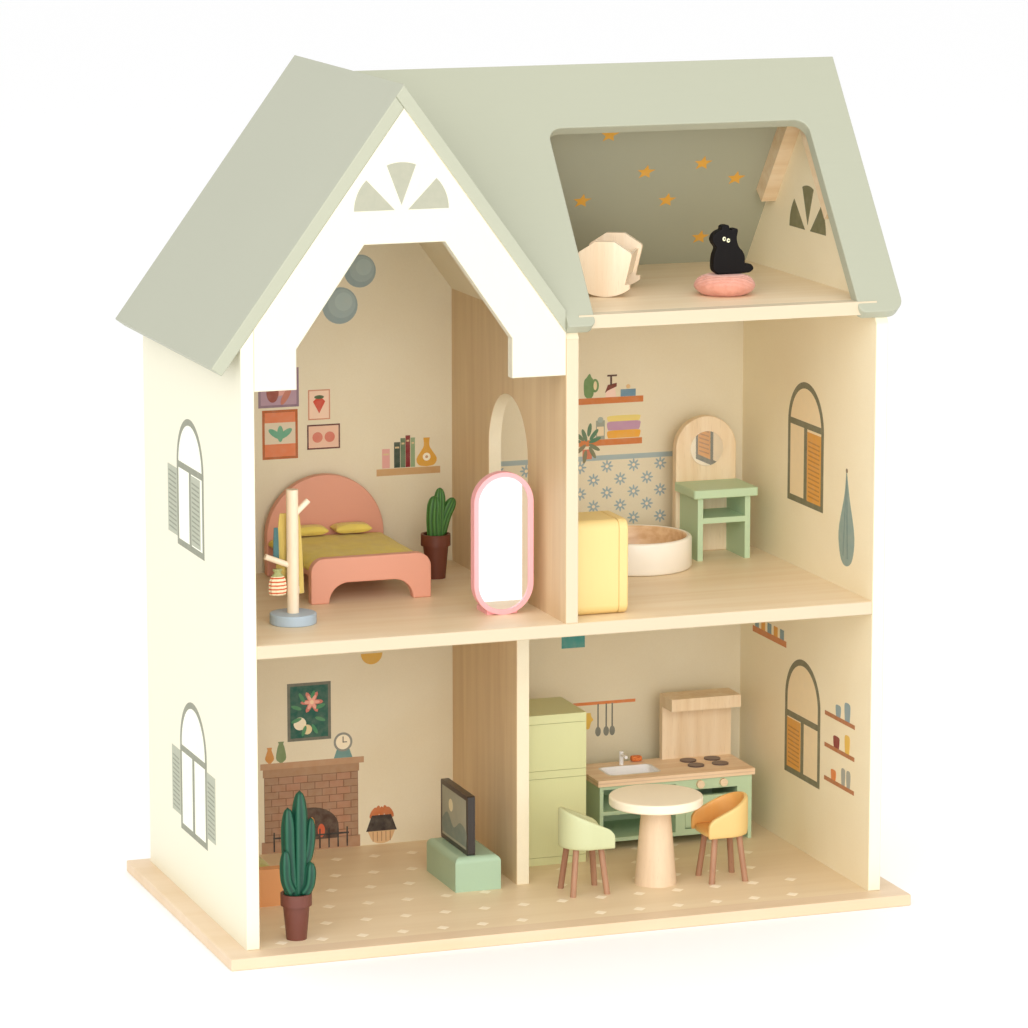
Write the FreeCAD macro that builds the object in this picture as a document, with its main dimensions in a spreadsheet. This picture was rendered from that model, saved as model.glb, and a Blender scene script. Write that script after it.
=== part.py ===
"""A two-storey wooden toy house with a gabled wing, a windowed roof and its loose furniture.

Millimetres, +Z up. The origin is the middle of the underside of the base board, +X runs to the
house's right-hand wall and -Y faces the open front.
"""
import FreeCAD, Part
import Sketcher
import os
import re
from FreeCAD import Placement, Rotation, Vector

doc = FreeCAD.newDocument("ToyHouse")
sheet = doc.addObject("Spreadsheet::Sheet", "Sizes")

# Driving dimensions: (alias, value in millimetres unless the note says otherwise, note).
SIZES = [
    # carcass
    ("house_width", 508, "over both side walls"),
    ("house_depth", 273, "front edge to back face"),
    ("board", 10, "walls, floors and roof boards"),
    ("back_thick", 10, "back panel"),
    ("base_thick", 9, "base board"),
    ("base_side", 17.5, "base board beyond each side wall"),
    ("base_front", 19, "base board beyond the front edge"),
    ("base_behind", 9, "base board beyond the back face"),
    ("storey_one", 228, "ground floor up to the top of the middle floor"),
    ("storey_two", 459, "ground floor up to the top of the attic floor"),
    ("gable_span", 249, "outside of left wall to left face of the upper partition"),
    ("low_partition_deep", 154, "depth of the ground floor partition from the back panel"),
    ("door_wide", 90, "arched doorway"),
    ("door_tall", 154, "arched doorway, to the top of the arch"),
    ("door_setback", 84, "front edge of the house to the doorway"),
    # roof, heights are of the boards' undersides above the ground floor
    ("gable_eave", 446.5, "gable roof at the outside of the left wall"),
    ("gable_peak", 616, "gable roof at its ridge"),
    ("gable_reach", 22, "gable roof top edge beyond the left wall"),
    ("main_eave", 441.5, "main roof at the front edge"),
    ("main_peak", 615.3, "main roof at its ridge"),
    ("main_reach", 10.9, "main roof beyond the right wall"),
    ("main_short", 5.2, "main roof's underside short of the walls' edge, down the slope"),
    ("window_top", 56.5, "ridge to top of the roof window, down the slope"),
    ("window_left", 12, "right face of the upper partition to the roof window"),
    ("window_right", 15.5, "roof window to the inside of the right wall"),
    ("window_round", 11, "upper corners of the roof window"),
    ("leg_round", 11, "lower corners of the roof's front legs"),
    ("fascia_leg", 32, "white gable front, width of each leg"),
    ("fascia_foot", 415, "white gable front, underside of the legs"),
    ("fascia_knee", 444.5, "white gable front, where the legs lean in"),
    ("fascia_top", 518, "white gable front, top of the opening"),
    ("fascia_gap", 61.5, "white gable front, width of the opening's top"),
    ("cleat_wide", 14, "roof cleat across the slope"),
    ("cleat_thick", 12, "roof cleat along the ridge"),
    ("cleat_long", 119, "roof cleat down the slope"),
    ("edge_round", 1, "softened board edges"),
    ("overcut", 30, "how far cutting tools run past what they cut"),
    ("fit_gap", 0.3, "running clearance round moving parts"),
    # bed
    ("bed_side", 129, "left wall to the middle of the bed"),
    ("bed_behind", 133, "back panel to the front face of the footboard"),
    ("bed_wide", 96, "width of both ends"),
    ("bed_long", 126, "over both ends"),
    ("bed_board", 8, "thickness of both ends"),
    ("foot_tall", 35, "footboard"),
    ("foot_round", 11, "footboard corners"),
    ("foot_arch_wide", 67, "cut-out under the footboard"),
    ("foot_arch_tall", 15.5, "cut-out under the footboard"),
    ("head_tall", 78, "headboard"),
    ("deck_level", 16, "underside of the bed deck"),
    ("deck_thick", 8, "bed deck"),
    ("quilt_thick", 9, "quilt"),
    ("pillow_long", 33, "pillow across the bed"),
    ("pillow_deep", 20, "pillow along the bed"),
    ("pillow_thick", 7.5, "pillow"),
    # coat rack
    ("rack_side", 49, "left wall to the coat rack's axis"),
    ("rack_in", 71.5, "front edge to the coat rack's axis"),
    ("rack_foot_radius", 17.5, "coat rack foot"),
    ("rack_foot_thick", 8, "coat rack foot"),
    ("rack_post_radius", 4.5, "coat rack post"),
    ("rack_tall", 101, "coat rack"),
    ("peg_radius", 2.2, "coat pegs"),
    ("peg_long", 17, "upper peg from the post's axis"),
    ("peg_lean", 47, "degrees between the upper peg and the post"),
    ("peg_low_long", 23, "lower peg from the post's axis"),
    ("peg_low_lean", 68, "degrees between the lower peg and the post"),
    ("peg_upper", 80.5, "height of the upper peg at the post's axis"),
    ("peg_lower", 43, "height of the lower peg at the post's axis"),
    ("coat_top", 82, "top of the coat above the floor"),
    ("coat_hem", 20.5, "hem of the coat above the floor"),
    ("coat_reach", 11.5, "half width of the coat's hem"),
    ("coat_shoulder", 7, "half width of the coat's shoulders"),
    ("coat_thick", 5, "coat"),
    ("bag_wide", 14, "bag"),
    ("bag_tall", 20, "bag"),
    ("bag_thick", 9, "bag"),
    # plants
    ("pot_tall", 35, "plant pots"),
    ("pot_foot_radius", 7.6, "plant pots, at the bottom"),
    ("pot_neck_radius", 10, "plant pots, under the rim"),
    ("pot_rim_radius", 11.7, "plant pots, rim"),
    ("pot_rim_tall", 9, "plant pots, rim"),
    ("pot_wall", 2, "plant pots, rim wall"),
    ("pot_soil", 4, "hollow above the pot's filling"),
    ("low_plant_side", 34, "left wall to the tall cactus"),
    ("low_plant_in", 20, "front edge to the tall cactus"),
    ("low_plant_tall", 113, "tall cactus with its pot"),
    ("high_plant_side", 35, "upper partition to the short cactus"),
    ("high_plant_behind", 63, "back panel to the short cactus"),
    ("high_plant_tall", 71.5, "short cactus with its pot"),
    ("stem_radius", 7, "cactus stems"),
    ("arm_radius", 4.5, "cactus arms"),
    ("arm_long", 21, "cactus arms"),
    ("arm_lean", 30, "degrees between arm and stem"),
    ("low_plant_arm", 55, "arm of the tall cactus above the floor"),
    ("high_plant_arm", 38, "arm of the short cactus above the floor"),
    # standing mirror
    ("glass_side", 32, "upper partition to the middle of the mirror"),
    ("glass_in", 47.5, "front edge to the front of the mirror"),
    ("glass_wide", 47, "standing mirror over its frame"),
    ("glass_tall", 108.5, "standing mirror over its frame"),
    ("glass_frame", 3.6, "width of the mirror's frame"),
    ("glass_thick", 8, "standing mirror frame"),
    ("glass_plate", 5, "mirror plate"),
    ("glass_foot", 24, "foot behind the mirror"),
    # washing machine
    ("washer_side", 4, "upper partition to the washing machine"),
    ("washer_in", 21, "front edge to the washing machine"),
    ("washer_wide", 44, "over the door panel"),
    ("washer_deep", 46, "front to back"),
    ("washer_tall", 72, "height"),
    ("washer_round", 7, "corners"),
    ("washer_door", 7.5, "door panel"),
    ("washer_groove", 0.8, "groove behind the door panel"),
    # bath tub
    ("tub_side", 119, "upper partition to the middle of the tub"),
    ("tub_behind", 73, "back panel to the middle of the tub"),
    ("tub_radius", 44, "outside of the tub"),
    ("tub_tall", 26, "tub"),
    ("tub_wall", 5, "tub wall"),
    ("tub_floor", 6, "tub bottom"),
    # dressing table
    ("vanity_wall", 44, "right wall to the middle of the dressing table"),
    ("vanity_behind", 75, "back panel to the front of the dressing table"),
    ("vanity_wide", 55, "table top"),
    ("vanity_deep", 44, "table top"),
    ("vanity_tall", 58, "table top"),
    ("vanity_top", 7, "thickness of the table top"),
    ("vanity_side", 4.5, "thickness of the sides"),
    ("vanity_lip", 5, "table top beyond the sides"),
    ("vanity_shelf", 30, "underside of the shelf"),
    ("vanity_back_tall", 110, "arched back"),
    ("vanity_back_wide", 52, "arched back"),
    ("vanity_back_thick", 8, "arched back"),
    ("vanity_glass_radius", 14, "round mirror"),
    ("vanity_glass_level", 84, "middle of the round mirror"),
    ("vanity_glass_thick", 1.5, "round mirror"),
    # cradle
    ("cradle_side", 67.6, "upper partition to the middle of the cradle"),
    ("cradle_before", 22.4, "ridge to the middle of the cradle"),
    ("cradle_turn", -29, "degrees about the vertical"),
    ("cradle_long", 62, "over both ends"),
    ("cradle_board", 5, "cradle boards"),
    ("cradle_wall", 2.5, "trough walls"),
    ("cradle_half", 21, "half width at the shoulders"),
    ("cradle_waist", 15.5, "half width above the rockers"),
    ("cradle_shoulder", 33, "height of the shoulders"),
    ("cradle_peak", 42, "height of the ends"),
    ("cradle_crown", 7, "half width of the ends' flat top"),
    ("cradle_round", 3, "corners of the ends"),
    ("rocker_radius", 32, "rocker curve"),
    ("rocker_half", 19, "half width of the rockers"),
    ("rocker_top", 9.5, "top of the rockers"),
    # pouffe and cat
    ("pouffe_side", 145, "upper partition to the middle of the pouffe"),
    ("pouffe_before", 63, "ridge to the middle of the pouffe"),
    ("pouffe_radius", 24, "pouffe"),
    ("pouffe_tall", 15, "pouffe"),
    ("cat_wide", 35, "cat with its tail"),
    ("cat_tall", 38, "cat"),
    ("cat_thick", 8, "cat"),
    # fridge
    ("fridge_side", 9, "lower partition to the fridge"),
    ("fridge_behind", 106, "back panel to the front of the fridge"),
    ("fridge_wide", 56, "fridge"),
    ("fridge_deep", 58, "fridge"),
    ("fridge_tall", 121, "fridge"),
    ("fridge_wall", 4, "fridge walls"),
    ("fridge_foot", 6, "bottom rail"),
    ("fridge_head", 7, "top rail"),
    ("fridge_split", 70, "underside of the middle rail"),
    ("fridge_rail", 6, "middle rail"),
    ("fridge_door", 5, "thickness of the doors"),
    ("pin_radius", 1, "hinge pins of the fridge and oven"),
    ("pin_gap", 0.05, "clearance round the hinge pins"),
    ("pin_long", 2, "hinge pins beyond the door"),
    # kitchen unit
    ("kitchen_wall_gap", 20.5, "right wall to the right end of the worktop"),
    ("kitchen_behind", 83, "back panel to the front of the worktop"),
    ("kitchen_wide", 134.5, "worktop"),
    ("kitchen_deep", 58, "worktop"),
    ("kitchen_tall", 58, "top of the worktop"),
    ("worktop_thick", 5, "worktop"),
    ("worktop_lip", 2, "worktop beyond the cabinet"),
    ("kitchen_wall", 3, "cabinet boards"),
    ("kitchen_plinth", 7, "underside of the cabinet bottom"),
    ("kitchen_bay", 68, "open bay on the left, with the cabinet side"),
    ("kitchen_shelf", 29, "underside of the shelf"),
    ("kitchen_panel", 9, "control panel under the worktop"),
    ("oven_wide", 45, "oven opening"),
    ("oven_stile", 5, "open bay to the oven"),
    ("oven_tall", 26.5, "oven door"),
    ("oven_gap", 5.5, "gap above the oven door"),
    ("oven_door_thick", 4, "oven door"),
    ("knob_radius", 3.2, "knobs"),
    ("knob_thick", 3, "knobs"),
    ("knob_inset", 12.5, "side of the oven to a knob's middle"),
    ("sink_wide", 46, "sink"),
    ("sink_deep", 30, "sink"),
    ("sink_hollow", 9, "sink"),
    ("sink_wall", 2, "sink"),
    ("sink_round", 6, "sink corners"),
    ("tap_radius", 1.8, "tap"),
    ("tap_tall", 11, "tap"),
    ("spout_radius", 1.3, "tap spout"),
    ("spout_long", 11, "tap spout from the stem's axis"),
    ("burner_radius", 6.7, "burners"),
    ("burner_thick", 1, "burners"),
    ("burner_side", 22.8, "open bay to the first burner's middle"),
    ("burner_front", 23.7, "front of the worktop to the first burner's middle"),
    ("burner_across", 21, "burner to burner along the worktop"),
    ("burner_behind", 17.4, "burner to burner from front to back"),
    ("hood_wide", 60, "back board and hood"),
    ("hood_level", 112, "top of the hood"),
    ("hood_tall", 10, "hood"),
    ("hood_deep", 21, "hood in front of its board"),
    ("hood_board", 6, "board behind the hood"),
    # round table and chairs
    ("table_wall", 145.2, "right wall to the round table's axis"),
    ("table_in", 79.5, "front edge to the round table's axis"),
    ("table_radius", 36.5, "table top"),
    ("table_thick", 7.5, "table top"),
    ("table_tall", 70, "table"),
    ("pedestal_foot", 16.5, "pedestal radius at the floor"),
    ("pedestal_neck", 11, "pedestal radius under the top"),
    ("green_chair_off", 24.8, "table's rim to the middle of the green chair"),
    ("yellow_chair_off", 16.9, "table's rim to the middle of the yellow chair"),
    ("chair_in", 74.3, "front edge to the chairs' middles"),
    ("chair_radius", 20, "outside of the chair's back"),
    ("chair_reach", 19, "chair's middle to the front of its arms"),
    ("chair_wall", 4, "chair shell"),
    ("chair_seat", 37, "underside of the seat"),
    ("chair_back", 68, "top of the chair's back"),
    ("chair_arm", 50, "top of the chair's arms at the front"),
    ("leg_radius", 2.4, "chair legs"),
    ("leg_spread", 14, "chair feet from the middle"),
    ("leg_set", 10, "chair leg tops from the middle"),
    # television and its block
    ("tv_side", 52.5, "lower partition's plane to the left face of the block"),
    ("tv_in", 102, "front edge to the front of the block"),
    ("tv_block_wide", 37, "block"),
    ("tv_block_deep", 70, "block"),
    ("tv_block_tall", 27, "block"),
    ("tv_block_round", 5, "block edges"),
    ("tv_long", 65, "screen"),
    ("tv_tall", 47, "screen"),
    ("tv_thick", 6, "screen"),
    ("tv_set", 11.4, "left face of the block to the screen"),
    ("tv_front", 4, "front of the block to the screen"),
    ("tv_rim", 4, "screen rim"),
    ("tv_sunk", 1.5, "screen behind its rim"),
    # sofa
    ("sofa_gap", 2, "left wall to sofa"),
    ("sofa_behind", 151, "back panel to the front of the sofa"),
    ("sofa_deep", 49, "sofa from the wall"),
    ("sofa_long", 90, "sofa along the wall"),
    ("sofa_arm", 10, "arm and back thickness"),
    ("sofa_arm_tall", 29, "arms"),
    ("sofa_back_tall", 44, "back"),
    ("sofa_seat", 19, "seat"),
    ("sofa_cushion_thick", 9, "seat cushion"),
]
for row, (alias, size, note) in enumerate(SIZES, start=1):
    sheet.set(f"A{row}", alias)
    sheet.set(f"B{row}", str(size))
    sheet.set(f"C{row}", note)
    sheet.setAlias(f"B{row}", alias)
doc.recompute()

ALIASES = {alias for alias, size, note in SIZES}


def bound(text):
    """The expression with each alias pointed at the sheet and each of PLACES written out."""
    def spelled(word):
        name = word[0]
        if name in PLACES:
            return bound(PLACES[name])
        return f"Sizes.{name}" if name in ALIASES else name
    return re.sub(r"[a-z_]+", spelled, text)


def value(text):
    """The number that an expression gives now, in millimetres."""
    return float(sheet.evalExpression(bound(text)))


def at(x="0", y="0", z="0"):
    return (x, y, z)


def place(item, spot, turn="0", axis=Vector(0, 0, 1)):
    """Bind an object's Placement to three expressions, and its turn to a fourth, in degrees."""
    item.Placement = Placement(Vector(*map(value, spot)), Rotation(axis, value(turn)))
    for letter, text in zip("xyz", spot):
        item.setExpression(f"Placement.Base.{letter}", bound(text))
    if turn != "0":
        item.setExpression("Placement.Rotation.Angle", bound(turn))
    return item


def bind(item, **sizes):
    for name, text in sizes.items():
        item.setExpression(name, bound(text))
    return item


# --- PartDesign pieces -------------------------------------------------------------------------

def add_loop(sketch, corners):
    """One closed loop. A corner is (x, y), or (x, y, centre x, centre y, turn) where the edge that
    leaves it is an arc, turn 1 for anticlockwise and -1 for clockwise."""
    first = sketch.GeometryCount
    count = len(corners)
    for index, corner in enumerate(corners):
        follower = corners[(index + 1) % count]
        start = Vector(value(corner[0]), value(corner[1]), 0)
        end = Vector(value(follower[0]), value(follower[1]), 0)
        if len(corner) == 2:
            sketch.addGeometry(Part.LineSegment(start, end))
            continue
        centre = Vector(value(corner[2]), value(corner[3]), 0)
        circle = Part.Circle(centre, Vector(0, 0, 1), (start - centre).Length)
        low, high = (start, end) if corner[4] > 0 else (end, start)
        sketch.addGeometry(Part.ArcOfCircle(circle, circle.parameter(low), circle.parameter(high)))
    START, END, CENTRE, ORIGIN = 1, 2, 3, -1
    for index, corner in enumerate(corners):
        edge = first + index
        after = first + (index + 1) % count
        leave, reach = (END, START) if len(corner) > 2 and corner[4] < 0 else (START, END)
        follower = corners[(index + 1) % count]
        welcome = END if len(follower) > 2 and follower[4] < 0 else START
        sketch.addConstraint(Sketcher.Constraint("Coincident", edge, reach, after, welcome))
        for kind, text in (("DistanceX", corner[0]), ("DistanceY", corner[1])):
            number = sketch.addConstraint(
                Sketcher.Constraint(kind, ORIGIN, START, edge, leave, value(text)))
            sketch.setExpression(f"Constraints[{number}]", bound(text))
        if len(corner) > 2:
            across = abs(value(follower[0]) - value(corner[0]))
            rise = abs(value(follower[1]) - value(corner[1]))
            kind, text = ("DistanceY", corner[3]) if across >= rise else ("DistanceX", corner[2])
            number = sketch.addConstraint(
                Sketcher.Constraint(kind, ORIGIN, START, edge, CENTRE, value(text)))
            sketch.setExpression(f"Constraints[{number}]", bound(text))


def plate(label, plane, loops, near, thick):
    """A body padded from closed loops on one of its origin planes. It fills from near to
    near + thick along that plane's axis: Z for XY, Y for XZ and X for YZ."""
    body = doc.addObject("PartDesign::Body", label)
    body.Label = label
    sketch = body.newObject("Sketcher::SketchObject", label + "_outline")
    roles = {feature.Role: feature for feature in body.Origin.OriginFeatures}
    sketch.AttachmentSupport = [(roles[plane + "_Plane"], "")]
    sketch.MapMode = "FlatFace"
    lift = f"-(({near}) + ({thick}))" if plane == "XZ" else near
    sketch.setExpression("AttachmentOffset.Base.z", bound(lift))
    for loop in loops:
        add_loop(sketch, loop)
    pad = body.newObject("PartDesign::Pad", label + "_pad")
    pad.Profile = sketch
    pad.setExpression("Length", bound(thick))
    sketch.Visibility = False
    return body


def soften(body, radius, wanted=lambda edge: True):
    """Round the edges that wanted picks."""
    doc.recompute()
    base = body.Tip
    names = [f"Edge{n}" for n, edge in enumerate(base.Shape.Edges, start=1) if wanted(edge)]
    fillet = body.newObject("PartDesign::Fillet", body.Name + "_round")
    fillet.Base = (base, names)
    fillet.setExpression("Radius", bound(radius))
    body.Tip = fillet
    return body


def at_front(edge):
    """Whether an edge lies in the plane of the house's open front."""
    return edge.BoundBox.YMax < value(FRONT) + 0.1


def block(x0, y0, x1, y1):
    return [(x0, y0), (x1, y0), (x1, y1), (x0, y1)]


def rounded(x0, y0, x1, y1, r):
    """A rectangle with four round corners, anticlockwise."""
    left, right = f"(({x0}) + ({r}))", f"(({x1}) - ({r}))"
    low, high = f"(({y0}) + ({r}))", f"(({y1}) - ({r}))"
    return [(left, y0), (right, y0, right, low, 1), (x1, low), (x1, high, right, high, 1),
            (right, y1), (left, y1, left, high, 1), (x0, high), (x0, low, left, low, 1)]


def arched(middle, half, bottom, top):
    """A rectangle under a half circle, anticlockwise."""
    spring = f"(({top}) - ({half}))"
    left, right = f"(({middle}) - ({half}))", f"(({middle}) + ({half}))"
    return [(left, bottom), (right, bottom), (right, spring, middle, spring, 1), (left, spring)]


def stadium(middle, half, bottom, top):
    """Two half circles joined by straight sides, anticlockwise."""
    low, high = f"(({bottom}) + ({half}))", f"(({top}) - ({half}))"
    left, right = f"(({middle}) - ({half}))", f"(({middle}) + ({half}))"
    return [(left, low, middle, low, 1), (right, low), (right, high, middle, high, 1), (left, high)]


# --- Part pieces -------------------------------------------------------------------------------

def primitive(kind, label, spot, turn="0", axis=Vector(0, 0, 1), **sizes):
    item = doc.addObject(f"Part::{kind}", label)
    item.Label = label
    bind(item, **sizes)
    return place(item, spot, turn, axis)


def box(label, spot, wide, deep, tall):
    return primitive("Box", label, spot, Length=wide, Width=deep, Height=tall)


def rod(label, spot, radius, tall, turn="0", axis=Vector(0, 0, 1)):
    return primitive("Cylinder", label, spot, turn, axis, Radius=radius, Height=tall)


def cone(label, spot, low, high, tall):
    return primitive("Cone", label, spot, Radius1=low, Radius2=high, Height=tall)


def join(label, items):
    item = doc.addObject("Part::MultiFuse", label)
    item.Label = label
    item.Shapes = items
    return item


def carve(label, base, tools):
    """The base without the tools."""
    tool = tools[0] if len(tools) == 1 else join(label + "_tools", tools)
    item = doc.addObject("Part::Cut", label)
    item.Label = label
    item.Base = base
    item.Tool = tool
    return item


def group(label, items):
    """Separate solids in one piece."""
    item = doc.addObject("Part::Compound", label)
    item.Label = label
    item.Links = items
    return item


# Faces of the house that everything else is placed from.
LEFT = "(-house_width / 2)"
RIGHT = "(house_width / 2)"
FRONT = "(base_front - (house_depth + base_front + base_behind) / 2)"
BACK = f"({FRONT} + house_depth)"
INNER_LEFT = f"({LEFT} + board)"
INNER_RIGHT = f"({RIGHT} - board)"
INNER_BACK = f"({BACK} - back_thick)"
GROUND = "base_thick"
MIDDLE = "(base_thick + storey_one)"
ATTIC = "(base_thick + storey_two)"
PARTITION = f"({LEFT} + gable_span)"
PARTITION_RIGHT = f"({PARTITION} + board)"

# Gable roof: undersides fall from the peak at this rise over run.
GABLE_MIDDLE = f"({LEFT} + gable_span / 2)"
GABLE_RUN = "(gable_span / 2)"
GABLE_SLOPE = f"((gable_peak - gable_eave) / {GABLE_RUN})"
GABLE_LEAN = f"sqrt(1 + {GABLE_SLOPE} ^ 2)"
GABLE_UNDER = "(base_thick + gable_peak)"
GABLE_OVER = f"({GABLE_UNDER} + board * {GABLE_LEAN})"
GABLE_EAVE = "(base_thick + gable_eave)"

# Main roof, the same along Y.
MAIN_MIDDLE = f"(({FRONT} + {BACK}) / 2)"
MAIN_RUN = "(house_depth / 2)"
MAIN_SLOPE = f"((main_peak - main_eave) / {MAIN_RUN})"
MAIN_LEAN = f"sqrt(1 + {MAIN_SLOPE} ^ 2)"
MAIN_UNDER = "(base_thick + main_peak)"
MAIN_OVER = f"({MAIN_UNDER} + board * {MAIN_LEAN})"
MAIN_EAVE = "(base_thick + main_eave)"

# Where each loose piece stands, from the wall, edge or piece that it belongs to.
PLACES = {
    "bed_x": f"({INNER_LEFT} + bed_side)",
    "bed_front": f"({INNER_BACK} - bed_behind)",
    "rack_x": f"({INNER_LEFT} + rack_side)",
    "rack_y": f"({FRONT} + rack_in)",
    "low_plant_x": f"({INNER_LEFT} + low_plant_side)",
    "low_plant_y": f"({FRONT} + low_plant_in)",
    "high_plant_x": f"({PARTITION} - high_plant_side)",
    "high_plant_y": f"({INNER_BACK} - high_plant_behind)",
    "glass_x": f"({PARTITION} - glass_side)",
    "glass_y": f"({FRONT} + glass_in)",
    "washer_x": f"({PARTITION_RIGHT} + washer_side)",
    "washer_y": f"({FRONT} + washer_in)",
    "tub_x": f"({PARTITION_RIGHT} + tub_side)",
    "tub_y": f"({INNER_BACK} - tub_behind)",
    "vanity_x": f"({INNER_RIGHT} - vanity_wall)",
    "vanity_y": f"({INNER_BACK} - vanity_behind)",
    "cradle_x": f"({PARTITION_RIGHT} + cradle_side)",
    "cradle_y": f"({MAIN_MIDDLE} - cradle_before)",
    "pouffe_x": f"({PARTITION_RIGHT} + pouffe_side)",
    "pouffe_y": f"({MAIN_MIDDLE} - pouffe_before)",
    "fridge_x": f"({PARTITION_RIGHT} + fridge_side)",
    "fridge_y": f"({INNER_BACK} - fridge_behind)",
    "kitchen_y": f"({INNER_BACK} - kitchen_behind)",
    "table_x": f"({INNER_RIGHT} - table_wall)",
    "table_y": f"({FRONT} + table_in)",
    "chair_y": f"({FRONT} + chair_in)",
    "tv_x": f"({PARTITION} - tv_side)",
    "tv_y": f"({FRONT} + tv_in)",
    "sofa_y": f"({INNER_BACK} - sofa_behind)",
    "kitchen_x": f"({INNER_RIGHT} - kitchen_wall_gap - kitchen_wide)",
    "green_chair_x": "(table_x - table_radius - green_chair_off)",
    "yellow_chair_x": "(table_x + table_radius + yellow_chair_off)",
    "main_slope_long": f"({MAIN_RUN} * {MAIN_LEAN} + board * {MAIN_SLOPE} - main_short)",
}


# --- House -------------------------------------------------------------------------------------

def carcass():
    """Base, walls, floors, partitions and back."""
    base = plate("base_board", "XY", [block(
        f"({LEFT} - base_side)", f"({FRONT} - base_front)",
        f"({RIGHT} + base_side)", f"({BACK} + base_behind)")], "0", "base_thick")
    soften(base, "edge_round")
    inner_eave = f"({GABLE_EAVE} + board * {GABLE_SLOPE})"
    left = plate("left_wall", "XZ", [[(LEFT, GROUND), (INNER_LEFT, GROUND),
                                      (INNER_LEFT, inner_eave), (LEFT, GABLE_EAVE)]],
                 FRONT, "house_depth")
    right = plate("right_wall", "YZ", [[(FRONT, GROUND), (BACK, GROUND), (BACK, MAIN_EAVE),
                                        (MAIN_MIDDLE, MAIN_UNDER), (FRONT, MAIN_EAVE)]],
                  INNER_RIGHT, "board")
    middle = plate("middle_floor", "XY", [block(INNER_LEFT, FRONT, INNER_RIGHT, INNER_BACK)],
                   f"{MIDDLE} - board", "board")
    plate("gable_back", "XZ", [[(INNER_LEFT, GABLE_EAVE), (PARTITION, GABLE_EAVE),
                                (GABLE_MIDDLE, GABLE_UNDER), (INNER_LEFT, inner_eave)]],
          INNER_BACK, "back_thick")
    plate("lower_partition", "YZ", [block(
        f"({INNER_BACK} - low_partition_deep)", GROUND, INNER_BACK, f"({MIDDLE} - board)")],
        PARTITION, "board")
    back_eave = f"({MAIN_EAVE} + back_thick * {MAIN_SLOPE})"
    doorway = arched(f"({FRONT} + door_setback + door_wide / 2)", "door_wide / 2",
                     MIDDLE, f"({MIDDLE} + door_tall)")
    inner_spring = doorway[2]
    upper = plate("upper_partition", "YZ", [[
        (FRONT, MIDDLE), (doorway[0][0], MIDDLE),
        (doorway[3][0], doorway[3][1], inner_spring[2], inner_spring[3], -1),
        (inner_spring[0], inner_spring[1]), (doorway[1][0], MIDDLE),
        (INNER_BACK, MIDDLE), (INNER_BACK, back_eave), (MAIN_MIDDLE, MAIN_UNDER),
        (FRONT, MAIN_EAVE)]], PARTITION, "board")
    for board in (left, right, middle, upper):
        soften(board, "edge_round", at_front)


def gable_roof():
    """The wing's two roof boards and its white front. The right board caps the ridge."""
    over_left = f"({GABLE_MIDDLE} - board * {GABLE_LEAN} / {GABLE_SLOPE} / 2)"
    over_high = f"({GABLE_UNDER} + board * {GABLE_LEAN} / 2)"
    eave_x = f"({LEFT} - gable_reach)"
    eave_z = f"({GABLE_OVER} - ({GABLE_MIDDLE} - {eave_x}) * {GABLE_SLOPE})"
    under_x = f"({eave_x} + board * {GABLE_SLOPE} / {GABLE_LEAN})"
    under_z = f"({eave_z} - board / {GABLE_LEAN})"
    left = plate("gable_roof_left", "XZ", [[
        (under_x, under_z), (GABLE_MIDDLE, GABLE_UNDER), (over_left, over_high),
        (eave_x, eave_z)]], FRONT, "house_depth")
    soften(left, "edge_round",
           lambda edge: at_front(edge) or edge.BoundBox.XMax < value(LEFT) - 1)
    right = plate("gable_roof_right", "XZ", [[
        (PARTITION, GABLE_EAVE), (PARTITION, f"({GABLE_EAVE} + board * {GABLE_LEAN})"),
        (GABLE_MIDDLE, GABLE_OVER), (over_left, over_high), (GABLE_MIDDLE, GABLE_UNDER)]],
        FRONT, "house_depth")
    soften(right, "edge_round", at_front)
    inner_eave = f"({GABLE_EAVE} + board * {GABLE_SLOPE})"
    foot = f"({GROUND} + fascia_foot)"
    knee = f"({GROUND} + fascia_knee)"
    top = f"({GROUND} + fascia_top)"
    left_leg = f"({INNER_LEFT} + fascia_leg)"
    right_leg = f"({PARTITION} - fascia_leg - board)"
    front = plate("gable_front", "XZ", [[
        (INNER_LEFT, foot), (left_leg, foot), (left_leg, knee),
        (f"({GABLE_MIDDLE} - fascia_gap / 2)", top), (f"({GABLE_MIDDLE} + fascia_gap / 2)", top),
        (right_leg, knee), (right_leg, foot), (PARTITION, foot), (PARTITION, GABLE_EAVE),
        (GABLE_MIDDLE, GABLE_UNDER), (INNER_LEFT, inner_eave)]], FRONT, "board")
    soften(front, "edge_round", at_front)


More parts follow.
